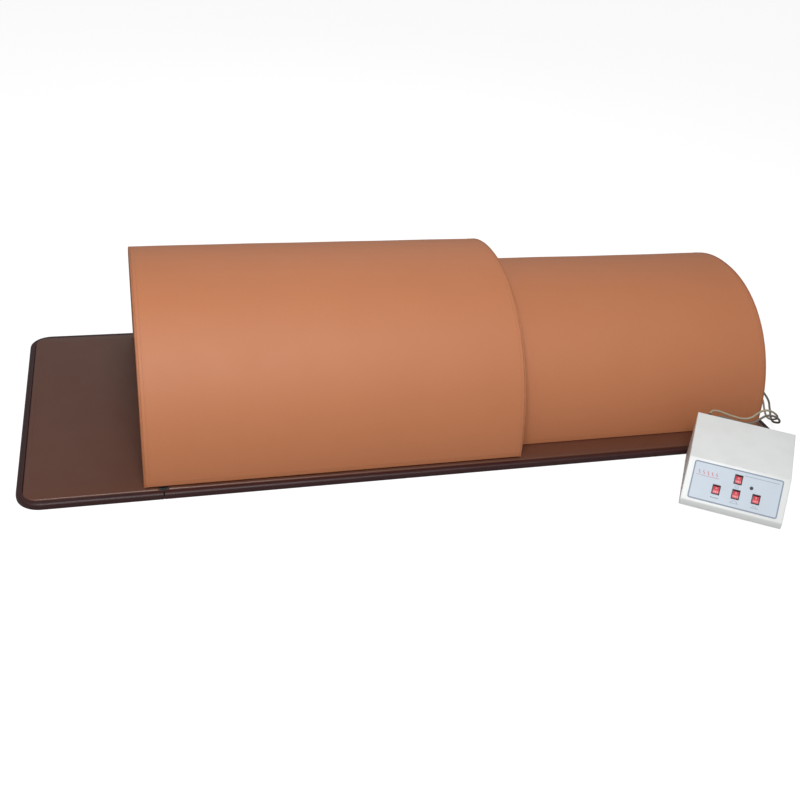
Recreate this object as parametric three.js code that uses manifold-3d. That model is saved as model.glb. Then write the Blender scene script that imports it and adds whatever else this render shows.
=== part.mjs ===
// Two-part far-infrared sauna: a folding heated mat, two telescoping arched
// covers that slide along it, and a slant-front control box on two leads.
//
// Units are millimetres. The origin is the centre of the mat's underside.
// +X runs from the head end to the foot end, +Y to the far side, +Z up.

import * as THREE from "three";
import Module from "manifold-3d";

// ------------------------------------------------------------ dimensions

const FIT = 0.3; // clearance left between neighbouring pieces

// Mat
const MAT_LENGTH = 1980;
const MAT_WIDTH = 800;
const RIM_HEIGHT = 17;
const RIM_WIDTH = 15;
const PAD_TOP = 22; // height of the padded top above the floor
const TRAY_FLOOR = 6; // thickness of the board under the pad
const MAT_CORNER = 57;
const PAD_CORNER = 32;
const FOLD_FROM_HEAD = 327; // where the head panel folds
const FOLD_GAP = 3;
const PAD_FOLD_GAP = 20; // the pads stop short of the fold by half of this each
const FOLD_STRIP_WIDTH = 60;
const FOLD_STRIP_THICK = 1.2;
const FILM_THICK = 1;
const FILM_INSET = 40; // the heating film stops this far inside its panel
const EDGE_ROUND = 3; // bevel on the mat's edges

// Arched covers: width and height are those of the outside
const LARGE = {
  head: -707, length: 934, width: 759, height: 402, bulge: 2.12,
};
const SMALL = {
  head: 165, length: 783, width: 659, height: 344, bulge: 2.13,
};
const ARCH_STEPS = 36; // facets from one foot of an arch to the other

// Layers of an arched wall, outside to inside
const COVER_THICK = 2;
const FOAM_THICK = 12;
const HOOP_THICK = 8;
const LINER_THICK = 2;
const HEATER_THICK = 3;
const HOOP_WIDTH = 28;
const BINDING_THICK = 4;
const RAIL_HEIGHT = 14;
const RAIL_LIFT = 0.3; // arches stand this far above the pad
const HEATER_LIFT = 30; // heaters stop this far above the rails
const INLET_LIFT = 30;

// Control box
const BOX_WIDTH = 244;
const BOX_DEPTH = 230;
const BOX_BACK_HEIGHT = 140;
const BOX_CREASE_HEIGHT = 100;
const BOX_CREASE_DEPTH = 77; // from the front edge to the crease
const BOX_LIP_HEIGHT = 20;
const BOX_WALL = 2.5;
const BOX_FOOT = 3;
const BOX_AT = [-261, -170]; // from the mat's near foot corner
const BOX_TURN = -0.58;
const LABEL_WIDTH = 214;
const LABEL_HEIGHT = 97;
const LABEL_THICK = 0.8;

// Rocker switches: position across and up the label, from its centre
const SWITCHES = [
  ["power_switch", 2, 24],
  ["mat_switch", -44, -13.5],
  ["large_dome_switch", 3, -13.5],
  ["small_dome_switch", 51, -13.5],
];
const BEZEL_WIDTH = 19.5;
const BEZEL_HEIGHT = 24.5;
const BEZEL_LIP = 2;
const SWITCH_OPENING = [15, 20];
const ROCKER_REST = 10; // degrees the rocker leans at rest
const PIVOT_DEPTH = -4; // the rockers turn about a line this far under the panel
const LAMP_AT = [36, 11];
const LAMP_RADIUS = 2.5;
const FOOT_INSET = 20;
const FOOT_RADIUS = 8;
const BASE_PLATE = 2;
const PILLAR_HEIGHT = 7;
const PILLAR_RADIUS = 4;
const BOARD = { x: [-100, 0], y: [-30, 50], thick: 1.6 };
const PILLAR_INSET = 10; // from the board's edges
const TRANSFORMER = { x: [30, 95], y: [-10, 45], height: 48 };

// Leads
const MAINS_CORD = 6;
const MAT_CORD = 5.5;
const GLAND_LENGTH = 30;
const GLAND_FLANGE = 4; // thickness
const CORD_LIFT = 0.1; // a lead on the floor clears it by this much
const MAINS_EXIT = [-70, 110]; // across the back of the box, and height
const MAT_EXIT = [-90, 124];
// Coils lie flat, wound inwards on the floor and outwards again on top:
// rows is the number of turns side by side in the lower layer. Their places,
// like all of the leads', are from the mat's near foot corner.
const MAINS_COIL = { at: [92, 510], radius: 33, rows: 3, layers: 2 };
const MAT_COIL = { at: [80, 410], radius: 30, rows: 2, layers: 2 };
const INLET_ALONG = 440; // from the mat's near side to the inlet's middle
const INLET_SIZE = [16, 44, 16];
const CONNECTOR_BODY = [20, 26, 14];
const CONNECTOR_BOOT = 14;
const PLUG_BODY = [38, 36, 24];
const PLUG_BOOT = 17;
const PLUG_PIN = [1.6, 17, 6.4];
const PLUG_PIN_SPACING = 12.7;

// -------------------------------------------------------------- finishes

function finish(colour, roughness, metalness = 0) {
  return new THREE.MeshStandardMaterial({ color: colour, roughness, metalness });
}

const TAN_LEATHER = finish(0xc5845e, 0.6);
const TAN_BINDING = finish(0xa9683f, 0.6);
const BROWN_LEATHER = finish(0x6f4a3a, 0.6);
const DARK_LEATHER = finish(0x3a1d1e, 0.55);
const FOAM = finish(0xe4dfcf, 0.95);
const ALUMINIUM = finish(0xb8bcc0, 0.4, 0.9);
const FILM = finish(0x24262a, 0.7);
const LINER = finish(0x8f8c86, 0.9);
const RAIL_WOOD = finish(0xb08d5c, 0.7);
const WHITE_SHELL = finish(0xdfe0dd, 0.45);
const LABEL_BLUE = finish(0xbecad6, 0.5);
const BLACK_PLASTIC = finish(0x1b1b1d, 0.45);
const RED_ROCKER = finish(0xd0303c, 0.35);
const GREY_CORD = finish(0x9c968a, 0.6);
const RUBBER = finish(0x202020, 0.85);
const BOARD_GREEN = finish(0x2c6b3f, 0.6);
const IRON_CORE = finish(0x6b6e72, 0.5, 0.7);
const GREEN_LENS = finish(0x55b060, 0.25);

// --------------------------------------------------------------- helpers

const group = new THREE.Group();

// A nested group, placed inside its parent.
function subGroup(parent, x = 0, y = 0, z = 0) {
  const child = new THREE.Group();
  child.position.set(x, y, z);
  parent.add(child);
  return child;
}

function add(parent, name, geometry, material) {
  const mesh = new THREE.Mesh(geometry, material);
  mesh.name = name;
  parent.add(mesh);
  return mesh;
}

const wasm = await Module();
wasm.setup();

// A solid for boolean work, from any closed geometry.
function solid(geometry) {
  const points = geometry.index ? geometry.toNonIndexed() : geometry;
  const position = points.attributes.position;
  const seen = new Map();
  const vertices = [];
  const triangles = [];
  for (let i = 0; i < position.count; i += 1) {
    const p = [position.getX(i), position.getY(i), position.getZ(i)];
    const key = p.map((v) => Math.round(v * 1e4)).join(",");
    if (!seen.has(key)) {
      seen.set(key, seen.size);
      vertices.push(...p);
    }
    triangles.push(seen.get(key));
  }
  const kept = [];
  for (let i = 0; i < triangles.length; i += 3) {
    const [a, b, c] = triangles.slice(i, i + 3);
    if (a !== b && b !== c && c !== a) kept.push(a, b, c);
  }
  return new wasm.Manifold(new wasm.Mesh({
    numProp: 3,
    vertProperties: new Float32Array(vertices),
    triVerts: new Uint32Array(kept),
  }));
}

// Back from a boolean result to a geometry.
function geometryOf(body) {
  const mesh = body.getMesh();
  const indexed = new THREE.BufferGeometry();
  const points = new THREE.BufferAttribute(mesh.vertProperties, mesh.numProp);
  indexed.setAttribute("position", points);
  indexed.setIndex(new THREE.BufferAttribute(mesh.triVerts, 1));
  const flat = indexed.toNonIndexed();
  flat.computeVertexNormals();
  return flat;
}

function box(x0, x1, y0, y1, z0, z1) {
  const geometry = new THREE.BoxGeometry(x1 - x0, y1 - y0, z1 - z0);
  geometry.translate((x0 + x1) / 2, (y0 + y1) / 2, (z0 + z1) / 2);
  return geometry;
}

// A rectangle in plan whose two head corners and two foot corners may be round.
function planShape(x0, x1, halfWidth, headRadius, footRadius) {
  const shape = new THREE.Shape();
  const turn = Math.PI / 2;
  const h = headRadius;
  const f = footRadius;
  shape.moveTo(x0 + h, -halfWidth);
  shape.lineTo(x1 - f, -halfWidth);
  if (f > 0) shape.absarc(x1 - f, f - halfWidth, f, -turn, 0);
  shape.lineTo(x1, halfWidth - f);
  if (f > 0) shape.absarc(x1 - f, halfWidth - f, f, 0, turn);
  shape.lineTo(x0 + h, halfWidth);
  if (h > 0) shape.absarc(x0 + h, halfWidth - h, h, turn, 2 * turn);
  shape.lineTo(x0, h - halfWidth);
  if (h > 0) shape.absarc(x0 + h, h - halfWidth, h, 2 * turn, 3 * turn);
  return shape;
}

// A prism along X from a section drawn in Y and Z.
function acrossX(section, x0, x1) {
  const geometry = new THREE.ExtrudeGeometry(section, {
    depth: x1 - x0, bevelEnabled: false,
  });
  geometry.applyMatrix4(new THREE.Matrix4().makeBasis(
    new THREE.Vector3(0, 1, 0),
    new THREE.Vector3(0, 0, 1),
    new THREE.Vector3(1, 0, 0),
  ));
  geometry.translate(x0, 0, 0);
  return geometry;
}

function slab(shape, z0, z1, bevel = 0) {
  const geometry = new THREE.ExtrudeGeometry(shape, {
    depth: z1 - z0 - 2 * bevel,
    bevelEnabled: bevel > 0,
    bevelSize: bevel,
    bevelThickness: bevel,
    bevelOffset: -bevel,
    bevelSegments: 2,
    curveSegments: 7,
  });
  geometry.translate(0, 0, z0 + bevel);
  return geometry;
}

// ------------------------------------------------------------------- mat

const mat = subGroup(group);
const matEnd = MAT_LENGTH / 2;
const matSide = MAT_WIDTH / 2;
const foldX = FOLD_FROM_HEAD - matEnd;
const recessCorner = PAD_CORNER + FIT;

// One panel: a shallow tray with a rim on three sides, and the pad laid in it.
function matPanel(name, x0, x1, headRound) {
  const headRadius = headRound ? MAT_CORNER : 0;
  const footRadius = headRound ? 0 : MAT_CORNER;
  const outer = planShape(x0, x1, matSide, headRadius, footRadius);
  const open = FIT + 1;
  const inX0 = headRound ? x0 + RIM_WIDTH : x0 - open;
  const inX1 = headRound ? x1 + open : x1 - RIM_WIDTH;
  const inSide = matSide - RIM_WIDTH;
  const inHead = headRound ? recessCorner : 0;
  const inFoot = headRound ? 0 : recessCorner;
  const recess = planShape(inX0, inX1, inSide, inHead, inFoot);
  const notch = box(
    foldX - FOLD_STRIP_WIDTH / 2 - FIT, foldX + FOLD_STRIP_WIDTH / 2 + FIT,
    -matSide, matSide, -1, FOLD_STRIP_THICK + FIT,
  );
  const tray = solid(slab(outer, 0, RIM_HEIGHT, EDGE_ROUND))
    .subtract(solid(slab(recess, TRAY_FLOOR, RIM_HEIGHT + 5)))
    .subtract(solid(notch));
  add(mat, `${name}_tray`, geometryOf(tray), DARK_LEATHER);

  const short = (PAD_FOLD_GAP - FOLD_GAP) / 2;
  const padX0 = headRound ? x0 + RIM_WIDTH + FIT : x0 + short;
  const padX1 = headRound ? x1 - short : x1 - RIM_WIDTH - FIT;
  const padHead = headRound ? PAD_CORNER : 0;
  const padFoot = headRound ? 0 : PAD_CORNER;
  const pad = planShape(padX0, padX1, inSide - FIT, padHead, padFoot);
  const padBase = TRAY_FLOOR + FILM_THICK + 2 * FIT;
  add(mat, `${name}_pad`, slab(pad, padBase, PAD_TOP, EDGE_ROUND), BROWN_LEATHER);

  add(
    mat,
    `${name}_heating_film`,
    box(
      x0 + FILM_INSET, x1 - FILM_INSET,
      FILM_INSET - matSide, matSide - FILM_INSET,
      TRAY_FLOOR + FIT, TRAY_FLOOR + FIT + FILM_THICK,
    ),
    FILM,
  );
}

matPanel("head", -matEnd, foldX - FOLD_GAP / 2, true);
matPanel("body", foldX + FOLD_GAP / 2, matEnd, false);
add(
  mat,
  "fold_hinge_strip",
  box(
    foldX - FOLD_STRIP_WIDTH / 2, foldX + FOLD_STRIP_WIDTH / 2,
    EDGE_ROUND - matSide, matSide - EDGE_ROUND, 0, FOLD_STRIP_THICK,
  ),
  DARK_LEATHER,
);
const [inletLength, inletWidth, inletTop] = INLET_SIZE;
const inletY = INLET_ALONG - matSide;
add(
  mat,
  "mat_inlet_box",
  box(
    matEnd + FIT, matEnd + inletLength,
    inletY - inletWidth / 2, inletY + inletWidth / 2, 1, inletTop,
  ),
  BLACK_PLASTIC,
);

// --------------------------------------------------------- arched covers

// Section of the arch, set in from the outside by a thickness, front to back.
function archLine(dome, inset) {
  const a = dome.width / 2;
  const h = dome.height;
  const power = 2 / dome.bulge;
  const line = [];
  for (let i = 0; i <= ARCH_STEPS; i += 1) {
    const t = (Math.PI * i) / ARCH_STEPS;
    const c = Math.cos(t);
    const s = Math.sin(t);
    const y = -a * Math.sign(c) * Math.abs(c) ** power;
    const z = i === 0 || i === ARCH_STEPS ? 0 : h * s ** power;
    const ny = Math.sign(y) * (Math.abs(y) / a) ** (dome.bulge - 1) / a;
    const nz = (z / h) ** (dome.bulge - 1) / h;
    const length = Math.hypot(ny, nz);
    line.push([y - (inset * ny) / length, z - (inset * nz) / length]);
  }
  return line;
}

// A point on the inset line at a given height, front side.
function edgeAt(line, height) {
  for (let i = 1; i < line.length; i += 1) {
    const [y0, z0] = line[i - 1];
    const [y1, z1] = line[i];
    if (z1 >= height) {
      const share = (height - z0) / (z1 - z0);
      return { y: y0 + share * (y1 - y0), next: i };
    }
  }
  return null;
}

// Arched shell between two insets, from a height above the arch's foot.
function archShell(dome, x0, x1, outside, inside, lift = 0) {
  function cut(inset) {
    const line = archLine(dome, inset);
    const start = edgeAt(line, Math.max(lift, 1e-9));
    const kept = line.slice(start.next, line.length - start.next);
    return [[start.y, lift], ...kept, [-start.y, lift]];
  }
  const outer = cut(outside);
  const inner = cut(inside).reverse();
  const shape = new THREE.Shape();
  [...outer, ...inner].forEach(([y, z], i) => {
    if (i === 0) shape.moveTo(y, z);
    else shape.lineTo(y, z);
  });
  return acrossX(shape, x0, x1);
}

function archedCover(name, dome) {
  const cover = subGroup(group, dome.head, 0, PAD_TOP + RAIL_LIFT);
  const x0 = BINDING_THICK + FIT;
  const x1 = dome.length - BINDING_THICK - FIT;
  const foamFrom = COVER_THICK + FIT;
  const foamTo = foamFrom + FOAM_THICK;
  const hoopFrom = foamTo + FIT;
  const hoopTo = hoopFrom + HOOP_THICK;
  const linerFrom = hoopTo + FIT;
  const wall = linerFrom + LINER_THICK;
  const lift = RAIL_HEIGHT + FIT;
  const shell = (...sizes) => archShell(dome, ...sizes);

  add(cover, `${name}_cover`, shell(x0, x1, 0, COVER_THICK), TAN_LEATHER);
  add(cover, `${name}_insulation`, shell(x0, x1, foamFrom, foamTo, lift), FOAM);
  add(cover, `${name}_liner`, shell(x0, x1, linerFrom, wall), LINER);

  const middle = (x0 + x1) / 2;
  const hoops = [
    ["head", x0], ["middle", middle - HOOP_WIDTH / 2], ["foot", x1 - HOOP_WIDTH],
  ];
  for (const [place, at] of hoops) {
    const hoop = shell(at, at + HOOP_WIDTH, hoopFrom, hoopTo, lift);
    add(cover, `${name}_hoop_${place}`, hoop, ALUMINIUM);
  }
  const gap = 10;
  const bays = [
    ["head", x0 + HOOP_WIDTH + gap, middle - HOOP_WIDTH / 2 - gap],
    ["foot", middle + HOOP_WIDTH / 2 + gap, x1 - HOOP_WIDTH - gap],
  ];
  for (const [place, from, to] of bays) {
    const heater = shell(from, to, hoopTo - HEATER_THICK, hoopTo, lift + HEATER_LIFT);
    add(cover, `${name}_heater_${place}`, heater, FILM);
  }

  const lean = Math.abs(edgeAt(archLine(dome, foamFrom), RAIL_HEIGHT).y);
  const railOut = Math.min(dome.width / 2 - foamFrom, lean);
  const railIn = dome.width / 2 - linerFrom + FIT;
  for (const [place, side] of [["front", -1], ["back", 1]]) {
    const [y0, y1] = [side * railIn, side * railOut].sort((p, q) => p - q);
    const rail = box(x0, x1, y0, y1, 0, RAIL_HEIGHT);
    add(cover, `${name}_rail_${place}`, rail, RAIL_WOOD);
  }

  const ends = [["head", 0], ["foot", x1 + FIT]];
  for (const [place, at] of ends) {
    const binding = shell(at, at + BINDING_THICK, 0, wall);
    add(cover, `${name}_binding_${place}`, binding, TAN_BINDING);
  }

  const inlet = add(cover, `${name}_inlet`, box(0, 9, -9, 9, 0, 28), BLACK_PLASTIC);
  inlet.position.set(dome.length + FIT, (dome.width - wall) / 2, INLET_LIFT);
}

archedCover("large_dome", LARGE);
archedCover("small_dome", SMALL);

// ----------------------------------------------------------- control box

// The box and the leads stand beside the mat's near foot corner and move with
// it. Everything in the box's group is built square to the box: x across it,
// y towards its back, z up. The group turns it into place.
const nearCorner = subGroup(group, matEnd, -matSide, 0);
const controlBox = subGroup(nearCorner, BOX_AT[0], BOX_AT[1], 0);
controlBox.rotation.z = BOX_TURN;

const halfW = BOX_WIDTH / 2;
const halfD = BOX_DEPTH / 2;
const creaseY = BOX_CREASE_DEPTH - halfD;
const slopeRun = BOX_CREASE_DEPTH;
const slopeRise = BOX_CREASE_HEIGHT - BOX_LIP_HEIGHT;
const slope = Math.atan2(slopeRise, slopeRun);

// The side view of the box, shrunk by a wall thickness, as a prism across it.
function boxPrism(wall, width, floor) {
  const w = wall;
  const half = Math.tan((Math.PI / 2 - slope) / 2);
  const topLean = Math.atan2(
    BOX_BACK_HEIGHT - BOX_CREASE_HEIGHT, BOX_DEPTH - BOX_CREASE_DEPTH,
  );
  const fold = Math.tan((slope - topLean) / 2);
  const side = [
    [halfD - w, floor],
    [halfD - w, BOX_BACK_HEIGHT - w / Math.cos(topLean) - w * Math.tan(topLean)],
    [
      creaseY + w * (Math.sin(topLean) + fold * Math.cos(topLean)),
      BOX_CREASE_HEIGHT - w * (Math.cos(topLean) - fold * Math.sin(topLean)),
    ],
    [w - halfD, BOX_LIP_HEIGHT - w * half],
    [w - halfD, floor],
  ];
  const shape = new THREE.Shape(side.map(([y, z]) => new THREE.Vector2(y, z)));
  return acrossX(shape, -width / 2, width / 2);
}

// The sloping panel's own frame: x across, y up the slope, z out of it.
const panel = subGroup(
  controlBox,
  0, (creaseY - halfD) / 2, (BOX_CREASE_HEIGHT + BOX_LIP_HEIGHT) / 2,
);
panel.rotation.x = slope;
panel.updateMatrix();

function block(width, height, z0, z1) {
  return box(-width / 2, width / 2, -height / 2, height / 2, z0, z1);
}

function upright(radius, z0, z1, sides = 16) {
  const geometry = new THREE.CylinderGeometry(radius, radius, z1 - z0, sides);
  geometry.rotateX(Math.PI / 2);
  geometry.translate(0, 0, (z0 + z1) / 2);
  return geometry;
}

const [openW, openH] = SWITCH_OPENING;
const collarW = openW + 1.4;
const collarH = openH + 1.4;

let shell = solid(boxPrism(0, BOX_WIDTH, BOX_FOOT))
  .subtract(solid(boxPrism(BOX_WALL, BOX_WIDTH - 2 * BOX_WALL, BOX_FOOT - 2)));
let label = solid(block(LABEL_WIDTH, LABEL_HEIGHT, FIT, FIT + LABEL_THICK));

// Cut the same hole through the label and, in the box's frame, the shell.
function pierce(hole, across, up) {
  hole.translate(across, up, 0);
  label = label.subtract(solid(hole));
  shell = shell.subtract(solid(hole.clone().applyMatrix4(panel.matrix)));
}

for (const [, across, up] of SWITCHES) {
  pierce(block(collarW + 2 * FIT, collarH + 2 * FIT, -8, 8), across, up);
}
pierce(upright(LAMP_RADIUS + FIT, -8, 8), ...LAMP_AT);
add(controlBox, "control_box_shell", geometryOf(shell), WHITE_SHELL);
add(panel, "control_label_panel", geometryOf(label), LABEL_BLUE);

// Switches: a bezel with a collar through the panel, and a rocker inside it.
const bezelBase = FIT + LABEL_THICK + FIT;
const bezelTop = bezelBase + BEZEL_LIP;
const reach = openH / 2; // from the pivot to the end of the opening
const lean = THREE.MathUtils.degToRad(ROCKER_REST);
const valley = bezelTop - PIVOT_DEPTH - 0.4;
const endY = 0.83 * reach;
const rockerSide = [
  [0, valley],
  [endY, valley + endY * Math.tan(lean)],
  [0.93 * reach, 0.2 * reach],
  [0.94 * reach, -0.1 * reach],
  [0.7 * reach, -0.6 * reach],
];
const rockerSection = [
  ...rockerSide.slice(1).reverse().map(([y, z]) => [-y, z]),
  ...rockerSide,
].map(([y, z]) => new THREE.Vector2(y, z));
for (const [name, across, up] of SWITCHES) {
  const bezel = solid(block(BEZEL_WIDTH, BEZEL_HEIGHT, bezelBase, bezelTop))
    .add(solid(block(collarW, collarH, -12, bezelBase + 0.5)))
    .subtract(solid(block(openW, openH, -14, 14)));
  add(panel, `${name}_bezel`, geometryOf(bezel), BLACK_PLASTIC)
    .position.set(across, up, 0);

  const half = openW / 2 - FIT;
  const section = new THREE.Shape(rockerSection);
  const rocker = acrossX(section, -half, half);
  const placed = add(panel, `${name}_rocker`, rocker, RED_ROCKER);
  placed.position.set(across, up, PIVOT_DEPTH);
  placed.rotation.x = lean;
}

const lampLine = [
  [0, -6], [LAMP_RADIUS, -6], [LAMP_RADIUS, 2], [0.72 * LAMP_RADIUS, 3.4], [0, 4],
].map(([r, z]) => new THREE.Vector2(r, z));
const lamp = new THREE.LatheGeometry(lampLine, 12);
lamp.rotateX(Math.PI / 2);
add(panel, "power_lamp_lens", lamp, GREEN_LENS).position.set(...LAMP_AT, 0);

// Bottom plate with pillars for the circuit board, feet under it.
const plateEdge = BOX_WALL + FIT;
const plateTop = BOX_FOOT + BASE_PLATE;
const boardBase = plateTop + PILLAR_HEIGHT;
let plate = solid(box(
  plateEdge - halfW, halfW - plateEdge,
  plateEdge - halfD, halfD - plateEdge, BOX_FOOT, plateTop,
));
const [boardX0, boardX1] = BOARD.x;
const [boardY0, boardY1] = BOARD.y;
for (const x of [boardX0 + PILLAR_INSET, boardX1 - PILLAR_INSET]) {
  for (const y of [boardY0 + PILLAR_INSET, boardY1 - PILLAR_INSET]) {
    const pillar = upright(PILLAR_RADIUS, plateTop - 1, boardBase, 10);
    pillar.translate(x, y, 0);
    plate = plate.add(solid(pillar));
  }
}
add(controlBox, "control_base_plate", geometryOf(plate), WHITE_SHELL);
add(
  controlBox,
  "power_board",
  box(...BOARD.x, ...BOARD.y, boardBase + FIT, boardBase + FIT + BOARD.thick),
  BOARD_GREEN,
);
const coreBase = plateTop + FIT;
add(
  controlBox,
  "transformer",
  box(...TRANSFORMER.x, ...TRANSFORMER.y, coreBase, coreBase + TRANSFORMER.height),
  IRON_CORE,
);
for (const [place, sx, sy] of [
  ["front_left", -1, -1], ["front_right", 1, -1],
  ["back_left", -1, 1], ["back_right", 1, 1],
]) {
  const round = upright(FOOT_RADIUS, 0, BOX_FOOT - FIT, 14);
  const foot = add(controlBox, `foot_${place}`, round, RUBBER);
  foot.position.set(sx * (halfW - FOOT_INSET), sy * (halfD - FOOT_INSET), 0);
}

// Strain-relief boots on the back of the box, thick end against it.
function gland(cord) {
  const r = cord / 2;
  const outline = [
    [0, 0], [r + 4.5, 0], [r + 4.5, GLAND_FLANGE], [r + 2.6, GLAND_FLANGE],
    [r + 1, GLAND_LENGTH - FIT], [0, GLAND_LENGTH - FIT],
  ].map(([x, y]) => new THREE.Vector2(x, y));
  return new THREE.LatheGeometry(outline, 12);
}
add(controlBox, "mains_gland", gland(MAINS_CORD), BLACK_PLASTIC)
  .position.set(MAINS_EXIT[0], halfD + FIT, MAINS_EXIT[1]);
add(controlBox, "mat_lead_gland", gland(MAT_CORD), BLACK_PLASTIC)
  .position.set(MAT_EXIT[0], halfD + FIT, MAT_EXIT[1]);

// ----------------------------------------------------------------- leads

const leads = subGroup(nearCorner);
controlBox.updateMatrix();

// A round cord along a smooth line through hand-placed points.
function cord(points, diameter, steps) {
  const curve = new THREE.CatmullRomCurve3(
    points.map(([x, y, z]) => new THREE.Vector3(x, y, z)), false, "centripetal",
  );
  const section = new THREE.Shape();
  section.absarc(0, 0, diameter / 2, 0, 2 * Math.PI);
  return new THREE.ExtrudeGeometry(section, {
    extrudePath: curve, steps, curveSegments: 8, bevelEnabled: false,
  });
}

// Where a boot's tip ends, from the mat's near foot corner.
function bootTip(exit, beyond) {
  const tip = new THREE.Vector3(exit[0], halfD + FIT + GLAND_LENGTH + beyond, exit[1]);
  tip.applyMatrix4(controlBox.matrix);
  return [tip.x, tip.y, tip.z];
}

// The flat ring that a coil's turns fill.
function coil(spec, diameter) {
  const half = ((spec.rows + 1) * diameter) / 2;
  const inner = spec.radius - half;
  const outer = spec.radius + half;
  const top = spec.layers * diameter + 2 * FIT;
  const outline = [
    [inner, 0.2], [outer, 0.2], [outer, top], [inner, top], [inner, 0.2],
  ].map(([x, y]) => new THREE.Vector2(x, y));
  const geometry = new THREE.LatheGeometry(outline, 24);
  geometry.rotateX(Math.PI / 2);
  return geometry;
}

// The line across a coil along which a lead runs into its outermost turn.
function coilEdge(spec, diameter) {
  return spec.at[0] + spec.radius + (spec.rows * diameter) / 2;
}

const mainsFloor = MAINS_CORD / 2 + CORD_LIFT;
const mainsEdge = coilEdge(MAINS_COIL, MAINS_CORD);
add(leads, "mains_lead", cord([
  bootTip(MAINS_EXIT, 0.2), bootTip(MAINS_EXIT, 8),
  [-221, 5, 110], [-203, 1, 107], [-180, -9, 102], [-155, -17, 98],
  [-128, -15, 98], [-104, -7, 102], [-82, 0, 105], [-58, 4, 100],
  [-34, 10, 86], [-8, 30, 60], [14, 66, 33], [30, 98, 14.5],
  [42, 122, 6.6], [54, 144, mainsFloor + 0.7], [66, 164, mainsFloor],
  [78, 186, mainsFloor], [96, 220, mainsFloor],
  [109, 270, mainsFloor], [120, 340, mainsFloor], [127, 400, mainsFloor],
  [mainsEdge - 2, 450, mainsFloor], [mainsEdge, MAINS_COIL.at[1] - 23, mainsFloor],
], MAINS_CORD, 70), GREY_CORD);
add(leads, "mains_coil", coil(MAINS_COIL, MAINS_CORD), GREY_CORD)
  .position.set(...MAINS_COIL.at, 0);

const matFloor = MAT_CORD / 2 + CORD_LIFT;
const matEdge = coilEdge(MAT_COIL, MAT_CORD);
add(leads, "mat_lead", cord([
  bootTip(MAT_EXIT, 0.2), bootTip(MAT_EXIT, 7),
  [-239, 14, 125], [-222, 13, 122], [-203, 8, 116], [-180, 0, 110],
  [-157, -6, 106], [-134, -6, 107], [-112, 2, 112], [-90, 9, 116],
  [-66, 12, 112], [-42, 15, 98], [-16, 34, 72], [8, 70, 42],
  [24, 106, 18.5], [33, 130, 8.6], [42, 150, matFloor + 0.9],
  [51, 168, matFloor], [62, 190, matFloor], [80, 225, matFloor],
  [93, 270, matFloor], [106, 320, matFloor], [matEdge - 1.5, 360, matFloor],
  [matEdge, MAT_COIL.at[1] - 20.5, matFloor],
], MAT_CORD, 66), GREY_CORD);
add(leads, "mat_coil", coil(MAT_COIL, MAT_CORD), GREY_CORD)
  .position.set(...MAT_COIL.at, 0);

// Plug of the mains lead, lying on the floor just past the coil. It is built
// along +Y from the tip of its boot.
const [plugWidth, plugLength, plugHeight] = PLUG_BODY;
const plugBoot = new THREE.CylinderGeometry(9, 4.2, PLUG_BOOT, 12);
plugBoot.translate(0, PLUG_BOOT / 2, 0);
let plug = solid(box(
  -plugWidth / 2, plugWidth / 2, PLUG_BOOT - 1, PLUG_BOOT + plugLength,
  -plugHeight / 2, plugHeight / 2,
)).add(solid(plugBoot));
const [pinThick, pinLength, pinHeight] = PLUG_PIN;
for (const side of [-1, 1]) {
  const pin = box(
    -pinThick / 2, pinThick / 2, -1, pinLength, -pinHeight / 2, pinHeight / 2,
  );
  pin.translate((side * PLUG_PIN_SPACING) / 2, PLUG_BOOT + plugLength, 0);
  plug = plug.add(solid(pin));
}
const plugX = MAINS_COIL.at[0] + MAINS_COIL.radius + MAINS_CORD / 2;
const plugY = MAINS_COIL.at[1] + MAINS_COIL.radius;
add(leads, "mains_plug", geometryOf(plug), BLACK_PLASTIC)
  .position.set(plugX, plugY, plugHeight / 2 + CORD_LIFT);

// Connector pushed into the mat's inlet box, built along +X from the box.
const [connectorLength, connectorWidth, connectorHeight] = CONNECTOR_BODY;
const connectorBoot = new THREE.CylinderGeometry(4, 6, CONNECTOR_BOOT, 12);
connectorBoot.rotateZ(-Math.PI / 2);
connectorBoot.translate(connectorLength + CONNECTOR_BOOT / 2, 0, 0);
const connector = solid(box(
  0, connectorLength + 0.5,
  -connectorWidth / 2, connectorWidth / 2, -connectorHeight / 2, connectorHeight / 2,
)).add(solid(connectorBoot));
add(leads, "mat_lead_connector", geometryOf(connector), BLACK_PLASTIC)
  .position.set(inletLength + FIT, INLET_ALONG, (inletTop + 1) / 2);

export default group;
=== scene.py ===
"""Looks of a two-part infrared sauna: two arched covers on a padded mat, with a control box on leads.

Every size is in metres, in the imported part's own frame: +X from head to foot, +Y away from the control
box, +Z up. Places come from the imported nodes; the classes below hold only what the nodes don't say.
"""

import logging
import math
from dataclasses import dataclass
from enum import Enum
from typing import Callable, Iterable, Iterator, Optional, Sequence

import bmesh
import bpy
import numpy as np
from mathutils import Matrix, Vector
from mathutils.kdtree import KDTree


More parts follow.
